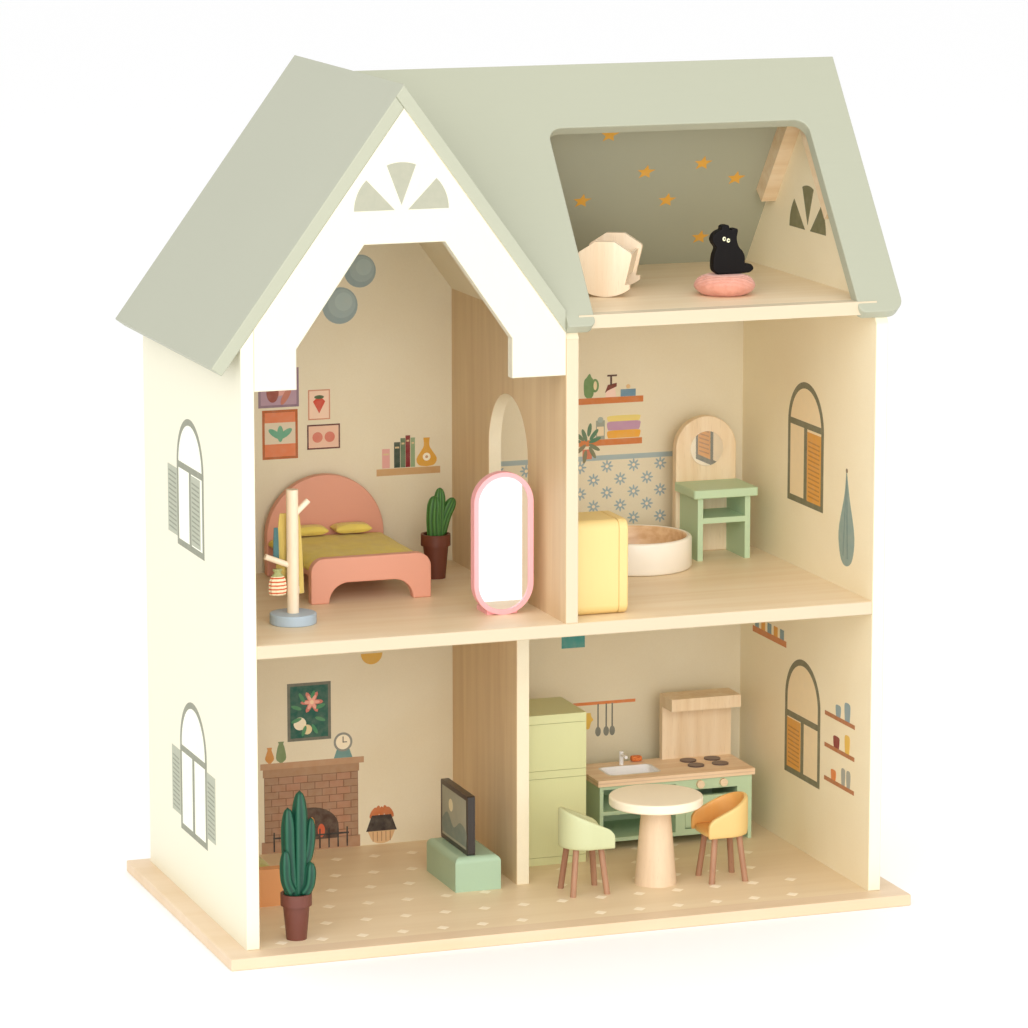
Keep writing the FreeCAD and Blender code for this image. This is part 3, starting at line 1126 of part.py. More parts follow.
carcass()
gable_roof()
main_roof()
attic()
bed()
coat_rack()
potted_cactus("tall_cactus", "low_plant_x", "low_plant_y", GROUND, "low_plant_tall",
              "low_plant_arm")
potted_cactus("short_cactus", "high_plant_x", "high_plant_y", MIDDLE, "high_plant_tall",
              "high_plant_arm")
standing_mirror()
washing_machine()
bath_tub()
dressing_table()
cradle()
pouffe_and_cat()
fridge()
kitchen()
round_table()
chair("green_chair", "green_chair_x", "0")
chair("yellow_chair", "yellow_chair_x", "180")
television()
sofa()
doc.recompute()

NODES = [
    "base_board", "left_wall", "right_wall", "back_panel", "gable_back", "middle_floor",
    "attic_floor", "upper_partition", "lower_partition", "gable_front", "gable_roof_left",
    "gable_roof_right", "main_roof_front", "main_roof_back", "roof_cleats",
    "bed_headboard", "bed_footboard", "bed_deck", "bed_quilt", "bed_pillow_left",
    "bed_pillow_right", "rack_foot", "rack_post", "rack_coat", "rack_bag",
    "short_cactus_pot", "short_cactus_plant", "mirror_frame", "mirror_plate",
    "washing_machine", "bath_tub", "vanity_table", "vanity_back", "vanity_mirror",
    "cradle_ends", "cradle_trough", "pouffe", "cat",
    "fridge_body", "fridge_door_lower", "fridge_door_upper",
    "kitchen_cabinet", "kitchen_worktop", "kitchen_sink", "kitchen_burners",
    "kitchen_hood", "oven_door", "oven_knobs", "table_top", "table_pedestal",
    "green_chair_seat", "green_chair_legs", "yellow_chair_seat", "yellow_chair_legs",
    "tv_screen", "tv_block", "tall_cactus_pot", "tall_cactus_plant", "sofa_frame",
    "sofa_cushion",
]

for item in doc.Objects:
    if "Invalid" in item.State or "Error" in item.State:
        raise RuntimeError(f"{item.Name} did not build: {item.State}")

os.makedirs("parts", exist_ok=True)
for label in NODES:
    found = doc.getObjectsByLabel(label)
    if len(found) != 1:
        raise RuntimeError(f"{label}: {len(found)} objects have this label")
    shape = found[0].Shape
    if shape.isNull() or not shape.isValid() or not shape.Solids:
        raise RuntimeError(f"{label} has no valid solid")
    shape.exportStep(f"parts/{label}.step")
print(f"{len(NODES)} pieces written")
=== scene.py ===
# %% [markdown]
# # A wooden toy house in Blender
#
# The boards, furniture and hinges of this toy already exist as solid parts. This lesson dresses
# them: painted and bare wood, printed wallpaper, cloth, felt and plants. Each step first says what
# the real thing is, then how it is made here. All lengths are metres.

# %% Load the solid parts
import math
import bmesh
import bpy
import numpy as np
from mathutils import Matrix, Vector


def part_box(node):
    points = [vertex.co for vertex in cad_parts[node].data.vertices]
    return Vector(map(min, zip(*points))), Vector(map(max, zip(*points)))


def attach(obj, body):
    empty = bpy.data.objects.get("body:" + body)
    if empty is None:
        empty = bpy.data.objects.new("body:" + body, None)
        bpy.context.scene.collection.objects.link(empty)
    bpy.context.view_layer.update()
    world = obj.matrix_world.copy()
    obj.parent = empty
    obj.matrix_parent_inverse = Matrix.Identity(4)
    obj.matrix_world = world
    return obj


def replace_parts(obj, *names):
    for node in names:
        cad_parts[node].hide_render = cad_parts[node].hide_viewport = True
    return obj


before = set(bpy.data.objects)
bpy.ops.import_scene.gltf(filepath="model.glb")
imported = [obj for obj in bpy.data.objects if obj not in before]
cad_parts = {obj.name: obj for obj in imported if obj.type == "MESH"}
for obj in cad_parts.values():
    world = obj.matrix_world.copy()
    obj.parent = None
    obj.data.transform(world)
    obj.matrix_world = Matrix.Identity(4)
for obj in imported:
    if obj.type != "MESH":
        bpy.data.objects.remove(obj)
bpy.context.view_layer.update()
scene = bpy.context.scene
MM = 0.001

# %% [markdown]
# ## Camera and studio
#
# A long lens from a little above shows the house's open front and its left side with hardly any
# convergence. The studio is a white floor under a white sky, with a large soft lamp near the camera,
# which fills the rooms, and a weaker one on the left, which models the roof. The plain Standard view
# keeps pastel paint as it is mixed.

# %% Camera and studio
CAMERA_PLACE = (-1.1443, -3.2353, 0.9314)
CAMERA_BEARING = math.radians(-19.489)
CAMERA_DOWN = math.radians(10.473)
LENS_MM = 158.97

camera = bpy.data.objects.new("camera", bpy.data.cameras.new("camera"))
camera.location = CAMERA_PLACE
camera.rotation_euler = (math.pi / 2 - CAMERA_DOWN, 0, CAMERA_BEARING)
camera.data.lens = LENS_MM
camera.data.sensor_width = 36
camera.data.clip_end = 50
scene.collection.objects.link(camera)
scene.camera = camera
scene.view_settings.view_transform = "Standard"


def soft_lamp(name, place, aim, size, power, tint=(1, 1, 1)):
    """A round area lamp turned towards aim; size in metres, power in watts."""
    lamp = bpy.data.objects.new(name, bpy.data.lights.new(name, "AREA"))
    lamp.data.shape = "DISK"
    lamp.data.size = size
    lamp.data.energy = power
    lamp.data.color = tint
    lamp.location = place
    lamp.rotation_euler = (Vector(aim) - Vector(place)).to_track_quat("-Z", "Y").to_euler()
    scene.collection.objects.link(lamp)


soft_lamp("lamp_left", (-2.6, -2.4, 2.4), (0, 0, 0.3), 2.2, 26, (1, 0.985, 0.96))
soft_lamp("lamp_front", (-0.7, -3.6, 1.3), (0, 0, 0.25), 2.6, 62, (1, 0.98, 0.95))
world = bpy.data.worlds.new("white_sky")
world.use_nodes = True
world.node_tree.nodes["Background"].inputs["Color"].default_value = (1, 1, 1, 1)
world.node_tree.nodes["Background"].inputs["Strength"].default_value = 1.0
scene.world = world
print("camera at", CAMERA_PLACE, "lens", LENS_MM)

# %% [markdown]
# ## A short way to write materials
#
# Blender's materials are graphs of nodes, and a graph written node by node is long to read. The
# small class below wraps an output socket, so that `grain * 0.2 + tone` adds the math nodes itself.
# A material then reads like a formula.

# %% Sockets that add up


def linear(red, green, blue):
    """A colour picked from a screen (0 to 255, sRGB) as the linear light that shaders mix."""
    c = np.array([red, green, blue]) / 255
    return tuple(np.where(c <= 0.04045, c / 12.92, ((c + 0.055) / 1.055) ** 2.4)) + (1,)


def add_node(tree, kind, settings, sockets):
    """One node: its settings are set first, then each socket takes a number, a colour, a Value
    or another node's output."""
    node = tree.nodes.new("ShaderNode" + kind)
    for label, setting in settings.items():
        setattr(node, label, setting)
    for label, item in sockets.items():
        item = item.socket if isinstance(item, Value) else item
        if isinstance(item, bpy.types.NodeSocket):
            tree.links.new(item, node.inputs[label])
        else:
            node.inputs[label].default_value = item
    return node


class Value:
    """One number on the surface. Arithmetic with it adds a Math node."""

    def __init__(self, tree, socket):
        self.tree, self.socket = tree, socket

    def math(self, operation, *others):
        sockets = dict(enumerate((self, *others)))
        return Value(self.tree, add_node(self.tree, "Math", {"operation": operation}, sockets).outputs[0])

    def __add__(self, other):
        return self.math("ADD", other)

    def __sub__(self, other):
        return self.math("SUBTRACT", other)

    def __rsub__(self, other):
        return (self * -1) + other

    def __mul__(self, other):
        return self.math("MULTIPLY", other)

    def __gt__(self, other):
        return self.math("GREATER_THAN", other)

    def __lt__(self, other):
        return self.math("LESS_THAN", other)

    __radd__, __rmul__ = __add__, __mul__

    def clamp(self):
        return self.math("MAXIMUM", 0).math("MINIMUM", 1)

    def between(self, low, high):
        """0 below low, 1 above high, and a straight ramp between."""
        return ((self - low) * (1 / (high - low))).clamp()

    def abs(self):
        return self.math("ABSOLUTE")


class Finish:
    """A material: a Principled shader, object coordinates and textures by name."""

    def __init__(self, name, roughness=0.5, **constants):
        self.material = bpy.data.materials.new(name)
        self.material.use_nodes = True
        self.tree = self.material.node_tree
        self.shader = self.tree.nodes["Principled BSDF"]
        self.shader.inputs["Roughness"].default_value = roughness
        for label, number in constants.items():
            self.shader.inputs[label.replace("_", " ")].default_value = number
        self.place = self.node("TexCoord").outputs["Object"]
        split = self.node("SeparateXYZ", Vector=self.place)
        self.x, self.y, self.z = (Value(self.tree, out) for out in split.outputs)

    def node(self, kind, settings=None, **sockets):
        return add_node(self.tree, kind, settings or {}, sockets)

    def stretched(self, scale):
        """Object coordinates with each axis multiplied by its own number."""
        return self.node("Mapping", Scale=scale, Vector=self.place).outputs[0]

    def noise(self, scale, detail=3, stretch=(1, 1, 1), wobble=0.0):
        node = self.node("TexNoise", Scale=scale, Detail=detail, Distortion=wobble,
                         Vector=self.stretched(stretch))
        return Value(self.tree, node.outputs["Fac"])

    def bands(self, scale, axis="X", wobble=0.0):
        """Soft stripes across one axis."""
        node = self.node("TexWave", {"bands_direction": axis}, Scale=scale, Distortion=wobble,
                         Vector=self.stretched((1, 1, 1)))
        return Value(self.tree, node.outputs["Fac"])

    def stored(self, name, output="Fac"):
        """What the mesh stores under a name, such as a tone or an ink."""
        return self.node("Attribute", {"attribute_name": name}).outputs[output]

    def mix(self, amount, first, second):
        """A colour between two, each a fixed colour or a socket."""
        sockets = {"Factor": amount, 6: first, 7: second}
        return add_node(self.tree, "Mix", {"data_type": "RGBA"}, sockets).outputs[2]

    def toned(self, low, high):
        """A colour between two, by the tone that is stored with the points."""
        return self.mix(Value(self.tree, self.stored("tone")).clamp(), low, high)

    def colour(self, socket):
        if isinstance(socket, tuple):
            self.shader.inputs["Base Color"].default_value = socket
        else:
            self.tree.links.new(socket, self.shader.inputs["Base Color"])
        return self

    def rough(self, value):
        self.tree.links.new(value.socket, self.shader.inputs["Roughness"])
        return self

    def bump(self, height, depth):
        """Raise the surface by height (0 to 1) times depth metres."""
        node = self.node("Bump", Strength=1, Distance=depth, Height=height)
        self.tree.links.new(node.outputs[0], self.shader.inputs["Normal"])
        return self


def shade(colour, factor):
    """A colour made lighter (above 1) or darker (below 1)."""
    return tuple(min(1, c * factor) for c in colour[:3]) + (1,)


print("ready: linear, add_node, Value, Finish and shade")

# %% [markdown]
# ## Wood, painted and bare
#
# The toy's boards are lacquered: a satin pastel coat with the faint brush marks and pores of the
# wood under it. Bare pieces show the grain itself, long streaks along the board. Both come from
# noise that is stretched along the grain, once for colour and once, finer, for the bump.

# %% Wood finishes
GRAIN = {"X": (0.06, 1, 1), "Y": (1, 0.06, 1), "Z": (1, 1, 0.06)}


def painted(name, colour, along="Z", roughness=0.45):
    """Satin paint: a few percent of tone from wide clouds, fine brush lines along the grain."""
    look = Finish(name, roughness)
    clouds = look.noise(9, 2)
    brush = look.noise(620, 2, GRAIN[along])
    tone = clouds * 0.7 + brush * 0.3
    look.colour(look.mix(tone, shade(colour, 0.955), shade(colour, 1.03)))
    look.rough(brush * 0.16 + (roughness - 0.08))
    return look.bump(brush, 0.00006).material


def bare(name, light, dark, along="X", roughness=0.5, rings=26):
    """Bare wood: warm streaks along the grain, darker rings that wander, and short pores."""
    look = Finish(name, roughness)
    streaks = look.noise(rings * 5, 4, GRAIN[along], 0.6)
    wander = look.noise(rings, 2, GRAIN[along], 1.4)
    pores = look.noise(1500, 1, GRAIN[along]).between(0.62, 0.75)
    tone = (streaks * 0.55 + wander * 0.45).between(0.34, 0.66)
    wood = look.mix(tone, light, dark)
    look.colour(look.mix(pores * 0.35, wood, shade(dark, 0.75)))
    look.rough(streaks * 0.2 + (roughness - 0.1))
    return look.bump(streaks * 0.6 - pores * 0.4, 0.00009).material


def edge_plies(name, face_light, face_dark, along="X"):
    """Plywood: bare wood on its faces, and the thin dark glue lines of its layers across Z."""
    look = Finish(name, 0.5)
    streaks = look.noise(130, 4, GRAIN[along], 0.6)
    plies = look.bands(95, "Z").between(0.72, 0.95)
    wood = look.mix(streaks.between(0.35, 0.65), face_light, face_dark)
    look.colour(look.mix(plies * 0.4, wood, shade(face_dark, 0.62)))
    return look.bump(streaks, 0.00008).material


CREAM = linear(241, 236, 212)
IVORY_EDGE = linear(216, 200, 170)
PAPER = linear(236, 226, 198)
PAPER_DEEP = linear(227, 213, 180)
FLOOR_WOOD = linear(245, 226, 194)
FLOOR_DEEP = linear(234, 208, 168)
ROOF = linear(174, 176, 155)
NATURAL = linear(243, 222, 190)
NATURAL_DEEP = linear(228, 198, 156)
print("wood finishes ready")

# %% [markdown]
# ## Boards printed on their inner side
#
# The walls are white paint outside and carry printed wallpaper inside, a soft watercolour beige.
# One material does both sides of a board: it looks at where on the board a point lies, because
# a point further out than the board's middle belongs to the outside.

# %% Two-sided boards
INSIDE = {
    "left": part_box("left_wall")[1].x,
    "right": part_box("right_wall")[0].x,
    "back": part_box("back_panel")[0].y,
    "front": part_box("middle_floor")[0].y,
}
FRONT_SKIN = 0.4 * MM


def wallpaper(look, edge_colour=IVORY_EDGE, tone=1.0):
    """Watercolour paper: broad pools of two beiges and a fine paper tooth. The sawn front edge
    keeps the board's own ivory colour."""
    pools = look.noise(7, 5, (1, 1, 1), 0.4)
    tooth = look.noise(900, 2)
    # tone scales both beiges; a tone above 1 is painted light.
    paper = look.mix((pools * 0.8 + tooth * 0.2).between(0.3, 0.7),
                     shade(PAPER, tone), shade(PAPER_DEEP, tone))
    look.bump(tooth, 0.00003)
    return look.mix(look.y < INSIDE["front"] + FRONT_SKIN, paper, edge_colour)


def outer_wall(name, inside_is, tone=1.0):
    """Cream paint, with wallpaper where inside_is(look) is 1; a tone above 1 lightens that wallpaper as
    painted light.
    """
    look = Finish(name, 0.5)
    inner = wallpaper(look, CREAM, tone)
    brush = look.noise(500, 2, GRAIN["Z"])
    cream = look.mix(brush, shade(CREAM, 0.975), CREAM)
    return look.colour(look.mix(inside_is(look), cream, inner)).material


LEFT_WALL = outer_wall("left_wall_finish", lambda look: look.x > INSIDE["left"] - FRONT_SKIN)
# The right wall's wallpaper is 1.2 times lighter: painted light, for a wall the lamps leave in shade.
RIGHT_WALL = outer_wall("right_wall_with_painted_light", lambda look: look.x < INSIDE["right"] + FRONT_SKIN, 1.2)
BACK_WALL = outer_wall("back_wall_finish", lambda look: look.y < INSIDE["back"] + FRONT_SKIN)


def partition_finish():
    """Wallpaper on the right face of a partition, warm wood streaks showing through on its left."""
    look = Finish("partition_finish", 0.5)
    streaks = look.noise(90, 4, GRAIN["Z"], 0.5).between(0.3, 0.7)
    paper = wallpaper(look, IVORY_EDGE)
    warm = look.mix(streaks, linear(226, 194, 148), linear(208, 170, 122))
    side = look.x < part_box("upper_partition")[0].x + FRONT_SKIN
    return look.colour(look.mix(side * 0.75, paper, warm)).material


def board_finish(name, front):
    """A floor board: warm streaks along X on its faces, a paler sanded front edge."""
    look = Finish(name, 0.42)
    streaks = look.noise(70, 4, GRAIN["X"], 0.5)
    clouds = look.noise(6, 3)
    tone = (streaks * 0.6 + clouds * 0.4).between(0.32, 0.68)
    top = look.mix(tone, FLOOR_WOOD, FLOOR_DEEP)
    edge = look.mix(streaks, shade(IVORY_EDGE, 0.93), IVORY_EDGE)
    look.colour(look.mix(look.y < front + FRONT_SKIN, top, edge))
    return look.bump(streaks, 0.00005).material


FLOOR = board_finish("floor_finish", INSIDE["front"])
ATTIC_FLOOR = board_finish("attic_floor_finish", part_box("attic_floor")[0].y + 0.012)


def base_finish():
    """The base: printed floor inside the walls, bare pale board outside them."""
    look = Finish("base_finish", 0.45)
    streaks = look.noise(60, 4, GRAIN["X"], 0.5)
    clouds = look.noise(6, 3)
    tone = (streaks * 0.5 + clouds * 0.5).between(0.32, 0.68)
    inside = (look.x > INSIDE["left"] - 0.01) * (look.x < INSIDE["right"] + 0.01)
    inside = inside * (look.y > INSIDE["front"]) * (look.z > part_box("base_board")[1].z - 0.0004)
    printed = look.mix(tone, linear(240, 220, 186), linear(228, 204, 166))
    plain = look.mix(tone, linear(232, 208, 178), linear(222, 194, 156))
    look.colour(look.mix(inside, plain, printed))
    return look.bump(streaks, 0.00005).material


def roof_finish():
    """Sage paint on both sides of the main roof, brushed along its length."""
    look = Finish("roof_finish", 0.42)
    brush = look.noise(520, 2, GRAIN["X"])
    clouds = look.noise(5, 2)
    tone = clouds * 0.7 + brush * 0.3
    look.colour(look.mix(tone, shade(ROOF, 0.96), shade(ROOF, 1.03)))
    look.rough(brush * 0.15 + 0.36)
    return look.bump(brush, 0.00005).material


def gable_roof_finish():
    """The wing's roof boards: sage outside, wallpaper on the slope that faces the room."""
    look = Finish("gable_roof_finish", 0.42)
    middle = (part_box("gable_front")[0].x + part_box("gable_front")[1].x) / 2
    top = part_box("gable_front")[1].z
    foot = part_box("left_wall")[1].z
    slope = (top - foot) / (middle - INSIDE["left"])
    under = (look.x - middle).abs() * slope + look.z < top + 0.0006
    brush = look.noise(520, 2, GRAIN["Y"])
    sage = look.mix(brush * 0.3 + look.noise(5, 2) * 0.7, shade(ROOF, 0.96), shade(ROOF, 1.03))
    inner = wallpaper(look, ROOF)
    inside = under * (look.x > INSIDE["left"] + 0.0002)
    return look.colour(look.mix(inside, sage, inner)).material


PLAIN_SAGE = roof_finish()
GABLE_SAGE = gable_roof_finish()

# %% [markdown]
# ## Dressing the solid parts
#
# Parts that already have the right shape only need a finish. A table from part to finish keeps
# that in one place; `dress` puts the finish into the part's material slots.

# %% Finishes for the solid parts


def dress(node, material):
    """Give every material slot of a solid part the same finish."""
    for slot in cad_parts[node].material_slots:
        slot.material = material


PINK = linear(226, 160, 134)
MINT = linear(190, 214, 176)
PALE_GREEN = linear(216, 218, 164)
YELLOW = linear(234, 206, 138)
natural_x = bare("natural_along_x", NATURAL, NATURAL_DEEP, "X")
natural_z = bare("natural_along_z", NATURAL, NATURAL_DEEP, "Z")
pale_wood = bare("pale_wood", linear(250, 234, 208), linear(240, 216, 184), "Z")
pedestal_wood = bare("pedestal_wood", linear(238, 214, 182), linear(228, 200, 166), "Z")
brown_legs = bare("brown_legs", linear(186, 142, 112), linear(150, 104, 78), "Z")
pink_paint = painted("pink_paint", PINK, "X")
mint_paint = painted("mint_paint", MINT)
green_paint = painted("green_paint", PALE_GREEN)
FINISHES = {
    "base_board": base_finish(), "left_wall": LEFT_WALL, "right_wall": RIGHT_WALL,
    "back_panel": BACK_WALL, "gable_back": BACK_WALL, "middle_floor": FLOOR,
    "attic_floor": ATTIC_FLOOR, "upper_partition": partition_finish(),
    # The fascia is CREAM paint made darker: painted shade on the house's front face.
    "lower_partition": partition_finish(), "gable_front": painted("fascia_paint_with_painted_shade", linear(230, 225, 204)),
    "gable_roof_left": GABLE_SAGE, "gable_roof_right": GABLE_SAGE,
    "main_roof_front": PLAIN_SAGE, "main_roof_back": PLAIN_SAGE, "roof_cleats": natural_x,
    "bed_headboard": pink_paint, "bed_footboard": pink_paint, "bed_deck": pink_paint,
    "rack_foot": painted("rack_blue", linear(176, 194, 208)), "rack_post": pale_wood,
    "mirror_frame": painted("mirror_pink", linear(250, 178, 182)),
    "washing_machine": painted("washer_yellow", YELLOW),
    "vanity_table": mint_paint, "vanity_back": natural_z,
    "cradle_ends": pale_wood, "cradle_trough": pale_wood,
    "fridge_body": green_paint, "fridge_door_lower": green_paint,
    "fridge_door_upper": green_paint, "kitchen_cabinet": painted("kitchen_mint", MINT, "X"),
    "kitchen_worktop": edge_plies("worktop_ply", linear(247, 222, 190), linear(236, 204, 166)),
    "kitchen_sink": painted("sink_white", linear(250, 248, 246), "X", 0.25),
    "kitchen_hood": natural_z, "oven_door": mint_paint, "table_pedestal": pedestal_wood,
    "table_top": painted("table_cream", linear(252, 240, 214), "X"),
    "green_chair_legs": brown_legs, "yellow_chair_legs": brown_legs,
    "tv_block": painted("tv_mint", linear(170, 196, 166), "Y"),
    "short_cactus_pot": painted("pot_brown", linear(108, 56, 38)),
    "tall_cactus_pot": painted("pot_terracotta", linear(112, 62, 50)),
    "sofa_frame": painted("sofa_orange", linear(226, 158, 100), "Y"),
}
for node, material in FINISHES.items():
    dress(node, material)


def mirror_finish():
    """Silvered glass: a metal that reflects everything, with the faintest haze."""
    look = Finish("mirror_finish", 0.03, Metallic=1.0)
    haze = look.noise(60, 2)
    look.rough(haze * 0.02 + 0.01)
    return look.colour((0.94, 0.95, 0.96, 1)).material


def enamel_finish(name, colour, roughness=0.35):
    """Dark stove enamel: nearly black, with a fine speckle."""
    look = Finish(name, roughness)
    speckle = look.noise(2500, 1).between(0.6, 0.7)
    look.colour(look.mix(speckle * 0.5, colour, shade(colour, 2.2)))
    return look.bump(look.noise(1200, 2), 0.00003).material


MIRROR = mirror_finish()
ENAMEL = enamel_finish("stove_enamel", linear(92, 74, 70))
dress("mirror_plate", MIRROR)
dress("vanity_mirror", MIRROR)
dress("kitchen_burners", ENAMEL)
dress("oven_knobs", natural_x)
dress("tv_screen", enamel_finish("tv_black", linear(52, 46, 42), 0.3))
print("dressed", len(FINISHES) + 5, "parts")

# %% [markdown]
# ## Surfaces worked out on a grid
#
# Everything from here on is a new piece. A shape is a grid of points given by a formula: rings
# round a path, a profile spun round a line, or a curved sheet. The helpers turn one or more grids
# into one closed mesh, and hang it on the moving body it belongs to. A number can be stored along
# with the points, such as how deep in a groove each one lies, so that a finish can use it.

# %% Grid helpers
HOUSE_CORNER = np.array([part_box("left_wall")[0].x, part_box("left_wall")[0].y,
                         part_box("base_board")[1].z])
TURN = np.linspace(0, 2 * np.pi, 48, endpoint=False)


def house(x, y, z):
    """Millimetres from the house's left outside, front edge and ground floor, as metres."""
    return np.stack(np.broadcast_arrays(x, y, z), -1) * MM + HOUSE_CORNER


def face_outwards(mesh, join=False):
    """Turn every face's normal outwards; join first makes one point of those that coincide."""
    work = bmesh.new()
    work.from_mesh(mesh)
    if join:
        bmesh.ops.remove_doubles(work, verts=work.verts, dist=1e-6)
    bmesh.ops.recalc_face_normals(work, faces=work.faces)
    work.to_mesh(mesh)
    work.free()


def cells_of(rows, columns, start=0, around=True):
    """The four corners of each cell of a grid, as point numbers from start."""
    index = np.arange(rows * columns).reshape(rows, columns) + start
    if around:
        index = np.hstack([index, index[:, :1]])
    cells = np.stack([index[:-1, :-1], index[:-1, 1:], index[1:, 1:], index[1:, :-1]], -1)
    return cells.reshape(-1, 4)


def middle_and_half(low, high):
    """A box's middle and half its size."""
    low, high = np.array(low), np.array(high)
    return (low + high) / 2, (high - low) / 2


def mesh_of(name, grids, around=True, tones=None):
    """One mesh from grids of points (rows, columns, 3). Each cell of a grid is a face; around
    joins the last column to the first. Points that coincide, as at a pole, become one."""
    points, faces, start = [], [], 0
    for grid in grids:
        points.append(grid.reshape(-1, 3))
        faces.append(cells_of(*grid.shape[:2], start, around))
        start += len(points[-1])
    mesh = bpy.data.meshes.new(name)
    mesh.from_pydata(np.vstack(points).tolist(), [], np.vstack(faces).tolist())
    if tones is not None:
        layer = mesh.attributes.new("tone", "FLOAT", "POINT")
        layer.data.foreach_set("value", np.concatenate([np.ravel(t) for t in tones]))
    face_outwards(mesh, join=True)
    mesh.polygons.foreach_set("use_smooth", [True] * len(mesh.polygons))
    return mesh


def piece(name, mesh, body, material):
    """Show a mesh as a new piece that rides on a body."""
    made = bpy.data.objects.new(name, mesh)
    scene.collection.objects.link(made)
    mesh.materials.append(material)
    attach(made, body)
    return made


def lathe(profile, centre):
    """Radius and height pairs, in metres, spun round a vertical line through centre."""
    radius, height = np.array(profile).T[:, :, None]
    return np.stack([centre[0] + radius * np.cos(TURN), centre[1] + radius * np.sin(TURN),
                     centre[2] + height + 0 * TURN], -1)


def smooth_path(points, count):
    """A Catmull-Rom curve: it passes through every point, with the slope of its neighbours."""
    p = np.array(points, float)
    p = np.vstack([2 * p[0] - p[1], p, 2 * p[-1] - p[-2]])
    step = np.linspace(0, len(points) - 1 - 1e-9, count)
    i = step.astype(int)
    f = (step - i)[:, None]
    a, b, c, d = p[i], p[i + 1], p[i + 2], p[i + 3]
    return (2 * b + (c - a) * f + (2 * a - 5 * b + 4 * c - d) * f ** 2
            + (3 * b - a - 3 * c + d) * f ** 3) / 2


def along(path, radius, flat=1.0, ribs=0, depth=0.0, side=(0, 1, 0)):
    """Rings across a path: the radius swells by depth at each of a number of ribs, and one way
    across is flattened."""
    ahead = np.gradient(path, axis=0)
    ahead /= np.linalg.norm(ahead, axis=1)[:, None]
    right = np.cross(ahead, side)
    right /= np.linalg.norm(right, axis=1)[:, None]
    third = np.cross(right, ahead)
    ring = np.reshape(radius, (-1, 1)) * (1 + depth * np.cos(ribs * TURN))
    return (path[:, None] + (ring * np.cos(TURN))[..., None] * right[:, None]
            + flat * (ring * np.sin(TURN))[..., None] * third[:, None])


def dome_ends(count, foot=0.0, tip=0.3):
    """A radius that is 1 along its middle and closes in a quarter ellipse at each end, foot and
    tip being the share of the length that each end takes."""
    s = np.linspace(0, 1, count)
    low = np.clip(1 - s / foot, 0, 1) if foot else np.where(s == 0, 1, 0)
    high = np.clip((s - 1 + tip) / tip, 0, 1)
    return np.sqrt(np.maximum(0, 1 - low ** 2)) * np.sqrt(np.maximum(0, 1 - high ** 2))


print("grid helpers ready, house corner at", HOUSE_CORNER.round(4))

# %% [markdown]
# ## Printed wallpaper pictures
#
# The rooms are printed: shelves, framed pictures, a fireplace, windows. On the real toy that is one
# sheet of paper. Here each inked shape is a very thin chip lying on the board, and its colour is
# stored on the mesh, so one material serves every print. Chips that lie on others get one layer
# more. A print is drawn in millimetres along and up its own wall.

# %% The printer
INK_GAIN = 1.25
CHIP, LAYER, SLIVER, SUNK = 0.1, 0.06, 0.003, 0.03


def ink_finish():
    """Matt printing ink: the stored colour, a little thin in places, with a paper tooth."""
    look = Finish("printed_ink", 0.55)
    thin = look.noise(160, 3).between(0.35, 0.75) * 0.12
    look.colour(look.mix(thin, look.stored("print", "Color"), shade(PAPER, 0.8)))
    return look.bump(look.noise(900, 2), 0.00002).material


INK = ink_finish()


def round_shape(u, v, radius, tall=None, start=0, end=360, count=28):
    """A disc or ellipse, or the pie slice between two angles."""
    turn = np.radians(np.linspace(start, end, count, endpoint=end - start < 360))
    rim = np.stack([u + radius * np.cos(turn), v + (tall or radius) * np.sin(turn)], -1)
    return rim if end - start >= 360 else np.vstack([rim, [[u, v]]])


def box_shape(left, right, low, high):
    """A rectangle's four corners."""
    return np.array([(left, low), (right, low), (right, high), (left, high)], float)


class Print:
    """Inked shapes on one plane, given by an origin and the directions along, up and out."""

    def __init__(self, origin, across, up, out):
        self.origin, self.across, self.up, self.out = map(np.array, (origin, across, up, out))
        self.shapes = []

    def fill(self, colour, outline, layer=0):
        tone = np.minimum(1, np.array(linear(*colour)[:3]) * INK_GAIN)
        self.shapes.append((tone, np.array(outline, float), layer))

    def box(self, colour, left, right, low, high, layer=0):
        self.fill(colour, box_shape(left, right, low, high), layer)

    def disc(self, colour, u, v, radius, layer=0, **more):
        self.fill(colour, round_shape(u, v, radius, **more), layer)

    def press(self, name, body="house"):
        """Each outline becomes a chip: a face in front, one behind, and a rim between them."""
        points, faces, colours, start = [], [], [], 0
        for order, (tone, outline, layer) in enumerate(self.shapes):
            flat = outline[:, :1] * self.across * MM + outline[:, 1:] * self.up * MM + self.origin
            n = len(flat)
            lift = (CHIP + LAYER * layer + SLIVER * (order % 16)) * MM
            points += [flat + self.out * lift, flat - self.out * SUNK * MM]
            ring = np.arange(n)
            after = (ring + 1) % n
            faces += [(ring + start).tolist(), (ring[::-1] + start + n).tolist()]
            faces += (np.stack([ring, ring + n, after + n, after], -1) + start).tolist()
            colours.append(np.tile(np.append(tone, 1), (6 * n, 1)))
            start += 2 * n
        mesh = bpy.data.meshes.new(name)
        mesh.from_pydata(np.vstack(points).tolist(), [], faces)
        layer = mesh.color_attributes.new("print", "FLOAT_COLOR", "CORNER")
        layer.data.foreach_set("color", np.concatenate(colours).ravel())
        face_outwards(mesh)
        print(name, "has", len(self.shapes), "inked shapes")
        return piece(name, mesh, body, INK)


